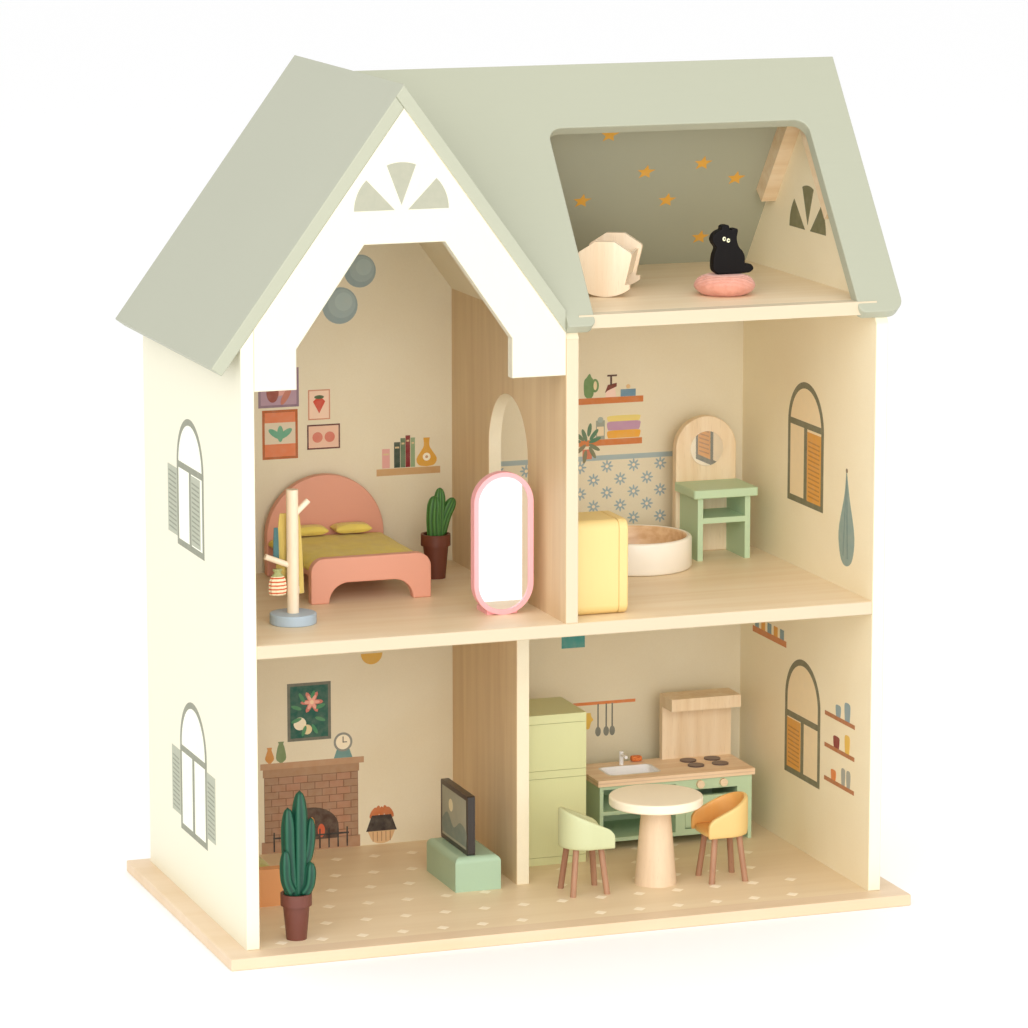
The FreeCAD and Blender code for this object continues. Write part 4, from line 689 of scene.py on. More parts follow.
X, Y, Z = np.eye(3)
left_x, front_y, ground_z = HOUSE_CORNER
back_wall = Print((left_x, INSIDE["back"], ground_z), X, Z, -Y)
right_wall = Print((INSIDE["right"], front_y, ground_z), Y, Z, -X)
left_wall = Print(HOUSE_CORNER, Y, Z, -X)
fascia = Print((left_x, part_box("gable_front")[0].y, ground_z), X, Z, -Y)
ground = Print(HOUSE_CORNER, X, Y, Z)
print("printer ready")

# %% [markdown]
# ## The bedroom wall
#
# Behind the bed hang two balloons and four framed pictures, and a shelf holds five books and a pear
# shaped vase. Each is two to six plain shapes, back to front.

# %% Bedroom prints


def framed(wall, left, right, low, high, rim, inside, width=1.6):
    """A picture's frame, and its ground inside the frame's width."""
    wall.box(rim, left, right, low, high)
    wall.box(inside, left + width, right - width, low + width, high - width, 1)


def leaf(u, v, long, wide, lean):
    """A leaf: two arcs that meet at both ends, turned by lean degrees."""
    s = np.linspace(0, np.pi, 10)
    edge = np.stack([np.cos(s) * long / 2, np.sin(s) * wide / 2], -1)
    edge = np.vstack([edge, -edge[1:-1]])
    c, d = math.cos(math.radians(lean)), math.sin(math.radians(lean))
    return edge @ np.array([[c, d], [-d, c]]) + (u, v)


def spray(wall, u, v, leans, reach, long, wide, colour, layer=1):
    """Leaves that stand out round a point, reach being how far away along and up the wall."""
    for lean in leans:
        c, s = math.cos(math.radians(lean)), math.sin(math.radians(lean))
        wall.fill(colour, leaf(u + reach[0] * c, v + reach[1] * s, long, wide, lean), layer)


for u, v, radius in ((156.7, 437, 14.5), (173.3, 463.5, 13)):
    back_wall.disc((134, 150, 150), u, v, radius)
    back_wall.disc((146, 162, 160), u + 1.5, v + 1.5, radius * 0.78, 1)
    back_wall.disc((156, 172, 168), u + 3, v + 3, radius * 0.5, 2)
framed(back_wall, 89.4, 122.5, 359, 390, (130, 105, 120), (165, 135, 150), 2)
back_wall.fill((205, 150, 140), round_shape(106, 377, 10, 9), 2)
back_wall.fill((140, 70, 55), round_shape(101, 371, 5, 8), 3)
back_wall.fill((180, 110, 90), leaf(112, 368, 16, 5, 60), 3)
framed(back_wall, 92.4, 121.4, 318, 357, (165, 85, 30), (205, 190, 165), 2)
back_wall.box((205, 115, 70), 94.4, 119.4, 320, 330, 2)
back_wall.box((205, 115, 70), 94.4, 119.4, 347, 355, 2)
spray(back_wall, 107, 338, (35, 90, 145), (5, 0), 13, 5, (95, 155, 125), 3)
framed(back_wall, 130, 148, 347.5, 371.4, (190, 130, 100), (222, 190, 165), 1)
back_wall.fill((190, 60, 35), [(134, 362), (139, 352.5), (144, 362), (141, 365), (137, 365)], 2)
back_wall.fill((70, 90, 50), leaf(139, 365.5, 8, 3, 0), 3)
framed(back_wall, 129, 156, 324, 343.7, (85, 30, 25), (215, 175, 150), 1.2)
back_wall.disc((195, 110, 90), 137.5, 333.5, 4.2, 2)
back_wall.disc((195, 110, 90), 147.5, 333.5, 4.2, 2)
back_wall.box((185, 145, 95), 186, 239, 299.5, 305)
BOOKS = [(190.7, 197, 321, (205, 150, 140)), (200.6, 205.6, 326, (40, 60, 45)),
         (206, 210, 329, (90, 110, 80)), (210.2, 214, 331, (120, 20, 25)),
         (214.4, 218, 329, (130, 150, 110))]
for left, right, top, colour in BOOKS:
    back_wall.box(colour, left, right, 305.5, top)
    back_wall.box((200, 175, 130), left + 0.8, right - 0.8, top - 5, top - 3.6, 1)
vase = smooth_path([(227.7, 305.3), (234, 306.5), (236.2, 311.5), (232.5, 317.5), (230, 322),
                    (230.4, 328.4)], 16)
back_wall.fill((205, 150, 45), np.vstack([vase, (455.4, 0) - vase[::-1][:-1] * (1, -1)]))
back_wall.disc((230, 220, 195), 227.7, 313, 3.2, 1)
back_wall.disc((190, 150, 110), 227.7, 313, 1.2, 2)

print("bedroom shapes:", len(back_wall.shapes))

# %% [markdown]
# ## The bathroom wall
#
# Two shelves with toiletries and towels hang over a tiled dado of little eight petalled flowers. The
# flowers repeat, so two loops lay them out, every second row shifted by half a step.

# %% Bathroom prints
for left, right, low in ((356, 411.5, 347.5), (356.5, 410.6, 313.5)):
    back_wall.box((190, 110, 50), left, right, low, low + 5)
jug = smooth_path([(363, 352.6), (360.8, 356), (360.6, 366), (363, 369.5), (365.5, 372.4),
                   (367, 369.5), (369, 366), (368.8, 356), (367, 352.6)], 26)
back_wall.fill((95, 130, 75), jug)
back_wall.fill((95, 130, 75), round_shape(370, 362.5, 3.4, 5.5))
back_wall.fill((215, 195, 155), round_shape(370.2, 362.5, 1.5, 3.6), 1)
back_wall.fill((225, 195, 180), [(379, 352.6), (388.4, 352.6), (387, 361), (380, 361)])
back_wall.fill((110, 45, 25), [(378.5, 356), (381, 362.5), (388.6, 364), (388.6, 361), (381, 358)], 1)
back_wall.box((70, 35, 25), 383, 384.6, 362, 370.7, 1)
back_wall.box((70, 35, 25), 380.5, 388.8, 369.3, 370.7, 2)
back_wall.box((95, 130, 150), 392, 405, 352.6, 358.4)
back_wall.disc((205, 170, 120), 398.5, 360.5, 1.8)
back_wall.box((140, 145, 130), 371, 378.5, 318.6, 334)
back_wall.box((215, 195, 160), 371.8, 377.7, 321.5, 329, 1)
back_wall.disc((150, 160, 150), 374.8, 334.5, 2.4)
for low, high, colour in ((319, 325, (215, 155, 50)), (325.4, 332.3, (175, 135, 160)),
                          (332.6, 337, (215, 195, 110))):
    back_wall.fill(colour, smooth_path([(381.5, low), (380.5, (low + high) / 2), (382, high),
                                        (395, high + 0.4), (408, high), (409, (low + high) / 2),
                                        (408, low)], 26))
back_wall.box((190, 110, 80), 359.5, 367.5, 303, 311)
for k, lean in enumerate((20, 50, 80, 110, 140, 165, -30, -60, -100, -140)):
    reach = 7 + 2 * (k % 3)
    spray(back_wall, 363.5, 316, [lean], (reach, reach), 11, 3.4, (70 + 6 * k, 115, 85))
back_wall.box((150, 165, 165), 259, 437, 301.5, 305.5)


def flower(wall, u, v, radius, petals, colour, middle, layer=0):
    """Petals round a middle: the rim's radius rises and falls once for each petal."""
    turn = np.linspace(0, 2 * np.pi, petals * 6, endpoint=False)
    rim = radius * (0.7 + 0.3 * np.cos(petals * turn))
    wall.fill(colour, np.stack([u + rim * np.cos(turn), v + rim * np.sin(turn)], -1), layer)
    wall.disc(middle, u, v, radius * 0.26, layer + 1, count=10)


for row in range(5):
    for column in range(8):
        u = 265.5 + 23 * column + 11.5 * (row % 2)
        if u < 436:
            flower(back_wall, u, 296.4 - 10.8 * row, 5.5, 8, (140, 158, 162), (225, 205, 170))

print("shapes with the bathroom's:", len(back_wall.shapes))

# %% [markdown]
# ## The sitting room and kitchen walls
#
# The fireplace is a stack of plain shapes: a mantel, brickwork with an arched firebox, a low iron
# fence and a log basket. Bricks are laid by a loop, half a brick shifted in every second course.

# %% Sitting room prints
back_wall.disc((200, 155, 60), 181, 157, 9, 0, start=180, end=360)
framed(back_wall, 110.7, 146.8, 90, 137, (98, 98, 84), (10, 80, 66), 2.4)
for radius, colour in ((9.5, (196, 110, 96)), (6.6, (222, 160, 140))):
    flower(back_wall, 131, 121, radius, 6, colour, (235, 195, 160), 2 + (radius < 9))
for u, v, radius, colour in ((121, 104, 5.2, (226, 214, 186)), (127, 99, 4, (214, 196, 150))):
    back_wall.disc(colour, u, v, radius, 2)
LEAF_LEANS = (20, 70, 120, 160, 200, 250, 300, 340)
spray(back_wall, 128, 112, LEAF_LEANS, (10.5, 15), 9, 3, (58, 128, 84), 2)
back_wall.fill((95, 135, 130), [(149, 73.6), (164.5, 73.6), (161.5, 82), (152, 82)])
back_wall.disc((130, 130, 120), 156.7, 86.5, 7.8, 1)
back_wall.disc((230, 218, 190), 156.7, 86.5, 6, 2)
back_wall.box((70, 60, 50), 156.3, 157.1, 86, 91, 3)
back_wall.box((70, 60, 50), 156.5, 160, 86.1, 86.8, 3)
for middle, top, wide, colour in ((95.7, 86.5, 3.7, (190, 130, 60)), (105.2, 90.7, 4.2, (110, 130, 85))):
    side = smooth_path([(1, 73.6), (wide, 77), (wide * 0.7, top - 5), (wide * 0.45, top - 2),
                        (wide * 0.6, top)], 12)
    back_wall.fill(colour, np.vstack([side + (middle, 0), side[::-1] * (-1, 1) + (middle, 0)]))
back_wall.box((170, 132, 98), 88, 174, 68.5, 73.5)
back_wall.box((154, 118, 86), 90, 170, 62, 68.5)
back_wall.box((118, 84, 60), 91, 169, 9, 62)
for course in range(9):
    for brick in range(7):
        left = 91.4 + 12 * brick - 6 * (course % 2)
        sides = (max(left, 91.4), min(left + 11.2, 168.6))
        if sides[1] > sides[0] + 1:
            tone = (148 + 5 * ((course * 3 + brick) % 3), 114, 86)
            back_wall.box(tone, *sides, 9.4 + 5.85 * course, 14.6 + 5.85 * course, 1)
back_wall.box((156, 118, 88), 88.5, 170.5, 0, 9.5)
arch = np.vstack([round_shape(129.5, 18, 23, 17, 0, 180)[:-1], [(106.5, 8.5), (152.5, 8.5)]])
back_wall.fill((65, 42, 28), arch, 2)
for middle, high, colour in ((121, 12, (190, 90, 40)), (130, 17, (225, 150, 60)), (138, 11, (190, 80, 40))):
    back_wall.fill(colour, leaf(middle, 10 + high / 2, high, 6, 90), 3)
back_wall.box((30, 26, 24), 98, 161, 11.4, 12.8, 4)
for k in range(9):
    back_wall.box((30, 26, 24), 98.2 + 7.6 * k, 99.4 + 7.6 * k, 1, 17, 4)
back_wall.fill((196, 160, 116), smooth_path([(177, 11), (181, 3), (188.5, 0.5), (196, 3), (200, 11)], 20))
for k in range(5):
    back_wall.box((150, 108, 72), 181 + 3.6 * k, 181.7 + 3.6 * k, 2.4, 10.5, 1)
    back_wall.fill((178, 100, 52), leaf(181.5 + 3.6 * k, 26 + (k % 2), 10, 4, 60 + 15 * k), 1)
back_wall.fill((40, 28, 24), [(175.6, 11), (201.4, 11), (196.6, 24), (180.4, 24)], 2)
back_wall.box((60, 140, 135), 342, 362, 149, 159.5)
back_wall.box((205, 120, 60), 352, 406, 100.5, 103)
for u in (373.6, 380.7, 385.9):
    back_wall.box((105, 105, 95), u - 0.6, u + 0.6, 79, 101, 1)
    back_wall.fill((120, 120, 108), round_shape(u, 78, 2.4, 4), 1)
back_wall.fill((215, 175, 70), smooth_path([(362.4, 94), (362, 86), (363, 81), (366, 81), (367.6, 86),
                                            (369.5, 88), (368, 90.5), (367.2, 94)], 22))
for k in range(14):
    low, high = 62 + 2 * (k % 3), 100 + 3 * (k % 2)
    back_wall.box((190, 155, 110), 259.3 + 3.4 * k, 260.4 + 3.4 * k, low, high)
back_wall.press("back_wall_print")

# %% [markdown]
# ## Windows, side walls and floors
#
# The windows are printed too. A pane with a round top is a rectangle and half an ellipse, and a
# shutter is a frame with slanted slats. One function draws both, on either side of a wall.

# %% Window prints


def arched(left, right, low, high, spring):
    """A rectangle up to the spring line and half an ellipse above it."""
    middle, half = (left + right) / 2, (right - left) / 2
    top = round_shape(middle, spring, half, high - spring, 0, 180)[:-1]
    return np.vstack([[(right, low)], top, [(left, low)]])


def shutter(wall, left, right, low, high, frame_ink, slat_ink, layer=2):
    """A panel with slanted slats every 3.6 mm up it."""
    wall.box(frame_ink, left, right, low, high, layer)
    for k in range(int((high - low - 5) / 3.6)):
        foot = low + 3 + 3.6 * k
        wall.fill(slat_ink, [(left + 2.4, foot), (right - 2.4, foot + 0.8),
                             (right - 2.4, foot + 2), (left + 2.4, foot + 1.2)], layer + 1)


def window(wall, left, right, low, high, bar, frame_ink, glass):
    """A frame with a round top, its glass, a cross bar, and an upright below that bar."""
    spring = high - (right - left) / 2
    wall.fill(frame_ink, arched(left, right, low, high, spring))
    wall.fill(glass, arched(left + 5, right - 5, low + 5, high - 5, spring), 1)
    wall.box(frame_ink, left + 3, right - 3, bar, bar + 5, 2)
    middle = (left + right) / 2
    wall.box(frame_ink, middle - 3, middle + 3, low + 3, bar + 1, 2)


OUT_FRAME, OUT_GLASS = (126, 128, 110), (236, 232, 214)
OUT_SHUTTER, OUT_SLAT = (160, 163, 144), (124, 128, 110)
window(left_wall, 103, 178, 273, 374, 333, OUT_FRAME, OUT_GLASS)
shutter(left_wall, 177.5, 204, 279, 331, OUT_SHUTTER, OUT_SLAT)
shutter(left_wall, 112.6, 138, 279, 332, OUT_SHUTTER, OUT_SLAT, 3)
window(left_wall, 104, 179, 50, 156, 112, OUT_FRAME, OUT_GLASS)
shutter(left_wall, 179.6, 203, 60, 111, OUT_SHUTTER, OUT_SLAT)
shutter(left_wall, 81, 104, 60, 111, OUT_SHUTTER, OUT_SLAT)
left_wall.press("left_wall_print")

IN_FRAME, IN_GLASS = (108, 106, 82), (226, 206, 168)
window(right_wall, 97, 168, 279.5, 377.5, 341, IN_FRAME, IN_GLASS)
shutter(right_wall, 102, 129, 284, 339, (206, 148, 62), (176, 122, 52), 3)
window(right_wall, 97, 168, 58, 155, 104, IN_FRAME, IN_GLASS)
shutter(right_wall, 136, 163, 63, 103, (206, 148, 62), (176, 122, 52), 3)
right_wall.fill((128, 148, 142), smooth_path([(51.7, 320), (46, 300), (36, 272), (40, 252), (52, 246),
                                              (62, 252), (66, 272), (56, 300), (52.5, 320)], 36))
right_wall.fill((108, 130, 126), [(51, 318), (47, 252), (50, 252), (52.4, 318)], 1)
right_wall.fill((108, 130, 126), [(51.4, 318), (56, 253), (58, 254), (52.4, 318)], 1)
right_wall.disc((120, 105, 85), 51.7, 320.6, 1.8, 1)
right_wall.box((190, 120, 70), 167, 237, 158, 163)
for k in range(5):
    right_wall.box([(120, 145, 150), (210, 150, 60)][k % 2], 172 + 13 * k, 180 + 13 * k, 163, 171)
for low in (68.7, 95.5, 121):
    right_wall.box((165, 105, 65), 30, 88, low, low + 3.4)
JUGS = [(40, 124.4, 9, 14, (130, 150, 155)), (58, 124.4, 8, 9, (130, 150, 155)),
        (40, 98.9, 8, 14, (215, 175, 80)), (60, 98.9, 10, 9, (130, 50, 45)),
        (38, 72.1, 6, 13, (150, 150, 140)), (48, 72.1, 6, 13, (150, 150, 140)),
        (66, 72.1, 8, 8, (205, 120, 60))]
for u, v, wide, tall, colour in JUGS:
    belly, top = v + tall * 0.6, v + tall
    right_wall.fill(colour, smooth_path([(u, v), (u - 1, belly), (u, top), (u + wide, top),
                                         (u + wide + 1, belly), (u + wide, v)], 18))


def fan(wall, u, v, spread, lift, colour):
    """Three pie slices round a point, each pushed a little outwards from it."""
    for side, start, end in ((1, 0, 45.6), (0, 69, 111), (-1, 134, 180)):
        rise = 0 if side else lift
        wall.disc(colour, u + spread * side, v + rise, 31, 0, start=start, end=end)


fan(right_wall, 134, 497, 5, 4, (112, 110, 78))
right_wall.press("right_wall_print")
fan(fascia, 122, 542.5, 5, 3.5, (150, 150, 132))
fascia.press("fascia_print")

for row, y in enumerate((12, 53, 97, 141, 182, 229)):
    for column in range(14):
        x = 30 + 31.5 * column + 15.75 * (row % 2)
        if abs(x - 249) > 12 and x < 488:
            ground.fill((232, 218, 194), [(x - 5, y), (x, y - 5), (x + 5, y), (x, y + 5)])
ground.press("floor_print")

# %% [markdown]
# ## Stars under the roof
#
# The attic's sloping ceiling carries seven stars. A star's outline jumps between a long and a short
# radius ten times round.

# %% Star prints
SLOPE_RUN, SLOPE_RISE = 136.5, 173.8
slope_up = np.array([0, -SLOPE_RUN, SLOPE_RISE]) / math.hypot(SLOPE_RUN, SLOPE_RISE)
slope_out = np.array([0, -SLOPE_RISE, -SLOPE_RUN]) / math.hypot(SLOPE_RUN, SLOPE_RISE)
slope_foot = house(0, 273, 441.5) + slope_out * 0.1 * MM
ceiling = Print(slope_foot, X, slope_up, slope_out)
STARS = [(346.7, 167.4), (386.6, 125.8), (340, 96.7), (412, 94), (432.6, 133.3), (465.1, 115.4),
         (451, 50.8)]
for u, v in STARS:
    turn = np.radians(90 + 36 * np.arange(10))
    reach = np.where(np.arange(10) % 2, 3.4, 7.8)
    ceiling.fill((215, 160, 60), np.stack([u + reach * np.cos(turn), v + reach * np.sin(turn)], -1))
ceiling.press("star_print")

# %% [markdown]
# ## Plump soft goods
#
# A stuffed pillow swells between its seams, and a cloth simulation is the surest way to that shape.
# The pillow starts as a slightly smaller closed form. A copy is remeshed, blown up by a little
# pressure with gravity off, and then keeps the shape. It is simulated at ten times its size, as
# cloth settings suit human sizes, and no point may travel further than a cap.

# %% The cloth recipe
TEN = 10


def bake(source):
    """The mesh as its modifiers leave it, as a plain mesh."""
    graph = bpy.context.evaluated_depsgraph_get()
    return bpy.data.meshes.new_from_object(source.evaluated_get(graph)).copy()


def plump(mesh, voxel, cap, pressure=4.0):
    """Swell a closed mesh by cloth under pressure, at ten times its size."""
    points = np.empty(len(mesh.vertices) * 3)
    mesh.vertices.foreach_get("co", points)
    points = points.reshape(-1, 3)
    centre = (points.max(0) + points.min(0)) / 2
    mesh.vertices.foreach_set("co", ((points - centre) * TEN).ravel())
    trial = bpy.data.objects.new("trial_pad", mesh)
    scene.collection.objects.link(trial)
    remesh = trial.modifiers.new("remesh", "REMESH")
    remesh.mode = "VOXEL"
    remesh.voxel_size = voxel * TEN
    trial.data = bake(trial)
    trial.modifiers.clear()
    start = np.empty(len(trial.data.vertices) * 3)
    trial.data.vertices.foreach_get("co", start)
    cloth = trial.modifiers.new("cloth", "CLOTH")
    cloth.settings.use_pressure = True
    cloth.settings.uniform_pressure_force = pressure
    cloth.settings.effector_weights.gravity = 0
    for frame_number in range(1, 21):
        scene.frame_set(frame_number)
    swollen = bake(trial)
    scene.frame_set(1)
    end = np.empty(len(swollen.vertices) * 3)
    swollen.vertices.foreach_get("co", end)
    move = (end - start).reshape(-1, 3)
    length = np.maximum(np.linalg.norm(move, axis=1), 1e-9)[:, None]
    kept = start.reshape(-1, 3) + move * np.minimum(1, cap * TEN / length)
    swollen.vertices.foreach_set("co", (kept / TEN + centre).ravel())
    swollen.polygons.foreach_set("use_smooth", [True] * len(swollen.polygons))
    bpy.data.objects.remove(trial)
    print("plumped", len(swollen.vertices), "points; the furthest moved",
          round(float(np.minimum(length / TEN, cap).max()) * 1000, 2), "mm")
    return swollen


def thicken(made, thickness, offset):
    """Give a sheet its cloth thickness."""
    thick = made.modifiers.new("cloth_thickness", "SOLIDIFY")
    thick.thickness = thickness
    thick.offset = offset
    return made


def soften(made, levels=1):
    """A subdivision surface over the piece."""
    smooth = made.modifiers.new("smooth", "SUBSURF")
    smooth.levels = levels
    smooth.render_levels = levels
    return made


def pillow_form(low, high, pull=0.07, rows=33):
    """A closed pillow in a box: its thickness falls off towards all four edges, and its sides
    pull in between the corners. Each row runs over the top and back underneath."""
    middle, half = middle_and_half(low, high)
    v = np.sin(np.linspace(-np.pi / 2, np.pi / 2, rows))[:, None]
    turn = np.linspace(0, 2 * np.pi, 64, endpoint=False)
    u = np.cos(turn)
    x = u * (1 - pull * (1 - v ** 2) * u ** 2)
    y = v * (1 - pull * (1 - u ** 2))
    thick = np.sqrt((1 - np.abs(u) ** 3) * (1 - np.abs(v) ** 3))
    z = np.sign(np.sin(turn)) * thick
    return np.stack([middle[0] + half[0] * x, middle[1] + half[1] * y, middle[2] + half[2] * z], -1)


def slab_form(low, high, power=5, rows=29):
    """A rounded block: a ball whose directions are pushed out to the box by a high power."""
    middle, half = middle_and_half(low, high)
    tilt = np.linspace(-np.pi / 2, np.pi / 2, rows)[:, None]
    turn = np.linspace(0, 2 * np.pi, 64, endpoint=False)
    way = np.stack([np.cos(tilt) * np.cos(turn), np.cos(tilt) * np.sin(turn),
                    np.sin(tilt) + 0 * turn], -1)
    size = (np.abs(way) ** power).sum(-1, keepdims=True) ** (1 / power)
    return middle + half * way / size


def fabric(name, colour, threads=900, deep=None, roughness=0.85):
    """Woven cloth: two crossed sets of threads, for both the tone and the bump, under a soft
    drift of colour where it has been handled."""
    look = Finish(name, roughness, Sheen_Weight=0.25)
    warp, weft = look.bands(threads, "X"), look.bands(threads, "Y")
    rise = look.bands(threads, "Z")
    weave = (warp + weft + rise) * 0.33
    drift = look.noise(55, 3)
    tone = (weave * 0.35 + drift * 0.65).between(0.2, 0.8)
    look.colour(look.mix(tone, deep or shade(colour, 0.8), colour))
    return look.bump(weave, 0.00012).material


PILLOW_INSET = Vector((0.0006, 0.0006, 0.0006))
PILLOW_CLOTH = fabric("pillow_yellow", linear(252, 226, 112))
for side in ("left", "right"):
    low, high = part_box("bed_pillow_" + side)
    form = pillow_form(Vector(low) + PILLOW_INSET, Vector(high) - PILLOW_INSET)
    pillow = piece(f"pillow_{side}_soft", plump(mesh_of("pillow", [form]), 0.0009, 0.0008),
                   "pillow_" + side, PILLOW_CLOTH)
    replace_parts(soften(pillow), "bed_pillow_" + side)

# %% [markdown]
# ## Quilt, sofa cushion and pouffe
#
# The quilt is one sheet laid over the bed: flat on top, with low folds, and rolled down along its
# edges. The cushion and the pouffe are stuffed, so they go through the cloth recipe as well.

# %% Quilt, cushion and pouffe
q_low, q_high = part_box("bed_quilt")
u, v = np.meshgrid(np.linspace(-1, 1, 90), np.linspace(-1, 1, 100))
folds = 0.35 * np.sin(5 * u + 3 * v) + 0.3 * np.sin(9 * v - 4 * u + 1) + 0.2 * np.sin(17 * u + 2)
edge = np.maximum(np.abs(u), np.abs(v)) ** 16
middle, half = middle_and_half(q_low, q_high)
top = q_high[2] - 0.0012 + folds * 0.0007
height = top * (1 - edge) + (q_low[2] + 0.0008) * edge
sheet = np.stack([middle[0] + (half[0] - 0.0006) * np.clip(u * 1.03, -1, 1),
                  middle[1] + (half[1] - 0.0006) * np.clip(v * 1.03, -1, 1), height], -1)
quilt = piece("quilt_sheet", mesh_of("quilt", [sheet], around=False), "quilt",
              fabric("quilt_mustard", linear(234, 210, 46), 700, linear(212, 184, 34)))
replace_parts(thicken(quilt, 0.0009, -1), "bed_quilt")
quilt_size = (2 * half[0] + 0.012, 2 * half[1] + 0.012)

low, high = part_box("sofa_cushion")
inset = Vector((0.0008, 0.0008, 0.0008))
cushion = piece("sofa_cushion_soft",
                plump(mesh_of("cushion", [slab_form(Vector(low) + inset, Vector(high) - inset)]),
                      0.0014, 0.0012),
                "sofa_seat", fabric("cushion_lime", linear(205, 198, 110), 600))
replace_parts(soften(cushion), "sofa_cushion")


def knit_finish():
    """Chunky salmon knitting: rows of leaning stitches from two crossed waves."""
    look = Finish("pouffe_knit", 0.9, Sheen_Weight=0.3)
    rows = look.bands(330, "Z", 1.5)
    ribs = look.noise(260, 2, (1, 1, 0.5))
    tone = (rows * 0.5 + ribs * 0.5).between(0.25, 0.75)
    look.colour(look.mix(tone, linear(216, 138, 116), linear(246, 180, 158)))
    return look.bump(rows * 0.6 + ribs * 0.4, 0.0004).material


low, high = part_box("pouffe")
radius, tall = (high.x - low.x) / 2, high.z - low.z
spin = np.linspace(-np.pi / 2, np.pi / 2, 31)
profile = np.stack([radius * 0.985 * np.abs(np.cos(spin)) ** 0.45,
                    tall / 2 + tall / 2 * 0.96 * np.sign(spin) * np.abs(np.sin(spin)) ** 0.8], -1)
puff = lathe(profile, ((low.x + high.x) / 2, (low.y + high.y) / 2, low.z))
pouffe = piece("pouffe_soft", plump(mesh_of("pouffe", [puff]), 0.0014, 0.0008), "pouffe_seat",
               knit_finish())
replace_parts(soften(pouffe), "pouffe")
print("quilt", np.round(quilt_size, 4), "m, pouffe", round(radius * 2 / MM, 1), "mm across")

# %% [markdown]
# ## What hangs on the stand
#
# A yellow coat hangs behind the post, with a blue scarf over it that ends in a white fringe, and a
# striped bag hangs from the lower peg. The coat and scarf are sheets whose folds deepen downwards.

# %% Coat, scarf and bag
post_x = (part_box("rack_post")[0].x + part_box("rack_post")[1].x) / 2
c_low, c_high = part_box("rack_coat")


def hanging(name, body, left, right, top, foot, depth, material, spread=0.6, folds=5, deep=1.0):
    """A hung sheet: narrow at the top, widening downwards, with folds that deepen as it falls."""
    s, t = np.meshgrid(np.linspace(-1, 1, 60), np.linspace(0, 1, 50))
    middle, half = (left + right) / 2, (right - left) / 2
    width = half * (spread + (1 - spread) * np.sqrt(t))
    swing = np.sin(folds * s + 1) * (0.25 + 0.75 * t) * deep
    grid = np.stack([middle + width * s, depth + swing * MM, top + (foot - top) * t], -1)
    return thicken(piece(name, mesh_of(name, [grid], around=False), body, material), 0.0006, 0)


coat = hanging("coat_sheet", "coat", c_low.x + 0.0004, c_high.x - 0.0004, c_high.z, c_low.z,
               (c_low.y + c_high.y) / 2 + 0.0004, fabric("coat_yellow", linear(236, 206, 112), 900),
               0.62, 6, 1.3)
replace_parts(coat, "rack_coat")
BLUE = fabric("scarf_blue", linear(110, 152, 176), 900)
TEAL = fabric("scarf_teal", linear(84, 128, 130), 900)
front = (c_low.y + c_high.y) / 2 - 0.0022
fringe_high, scarf_top = ground_z + 0.2548, ground_z + 0.2995
scarf = hanging("scarf_sheet", "coat", post_x + 0.0012, post_x + 0.0104, scarf_top, fringe_high,
                front, BLUE, 0.5, 3, 0.4)
hanging("scarf_fringe", "coat", post_x + 0.0012, post_x + 0.0104, fringe_high, fringe_high - 0.0055,
        front, fabric("fringe_white", linear(244, 240, 236), 900), 1.0, 34, 0.5)
hanging("scarf_tail", "coat", post_x - 0.0095, post_x - 0.0048, ground_z + 0.3,
        ground_z + 0.276, front, TEAL, 0.6, 2, 0.3)
print("coat", round((c_high.z - c_low.z) / MM, 1), "mm long")

b_low, b_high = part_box("rack_bag")


def bag_finish():
    """Cream canvas with five brick red stripes, and a green tie at its neck."""
    look = Finish("bag_canvas", 0.9)
    step = (b_high.z - b_low.z) / 7.2
    rise = (look.z - b_low.z) * (1 / step)
    wave = rise.math("FRACT")
    stripe = (wave > 0.62) * (look.z < b_low.z + 5 * step)
    weave = look.noise(900, 2)
    cream = look.mix(weave, linear(240, 220, 180), linear(252, 240, 208))
    body = look.mix(stripe, cream, linear(214, 98, 54))
    look.colour(look.mix(look.z > b_low.z + 5.2 * step, body, linear(172, 174, 118)))
    return look.bump(weave, 0.0001).material


levels = np.array([0, 0.01, 0.05, 0.2, 0.5, 0.68, 0.8, 0.86, 0.93, 1.0, 1.0])
widths = np.array([0, 5.6, 6.3, 6.8, 6.6, 5.6, 3.4, 2.2, 3.4, 4.2, 0]) * MM
path = np.stack([0 * levels + (b_low.x + b_high.x) / 2, 0 * levels + (b_low.y + b_high.y) / 2,
                 b_low.z + (b_high.z - b_low.z) * (levels + np.arange(11) * 1e-4)], -1)
bag = piece("bag_soft", mesh_of("bag", [along(path, widths, 0.62, 9, 0.05)]), "bag",
            bag_finish())
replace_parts(soften(bag, 2), "rack_bag")
print("bag", round((b_high.z - b_low.z) / MM, 1), "mm tall")

# %% [markdown]
# ## Cactus plants
#
# Each plant is a handful of ribbed lobes. A lobe is a set of rings along a bent path, its radius
# rising and falling round the ring; how high on a rib a point lies is stored, and the finish
# paints shade by it into the grooves, so the ribs come out lighter than the grooves between them.

# %% Cactus plants


def cactus_finish(name, groove, rib):
    """Waxy skin, with painted shade in the grooves that leaves the ribs lighter, mottled all over."""
    look = Finish(name, 0.5)
    mottle = look.noise(240, 3)
    # The groove colour is painted shade, laid in by how deep in a groove a point lies.
    skin = look.toned(groove, rib)
    look.colour(look.mix(mottle * 0.35, skin, shade(groove, 1.5)))
    return look.bump(mottle, 0.0001).material


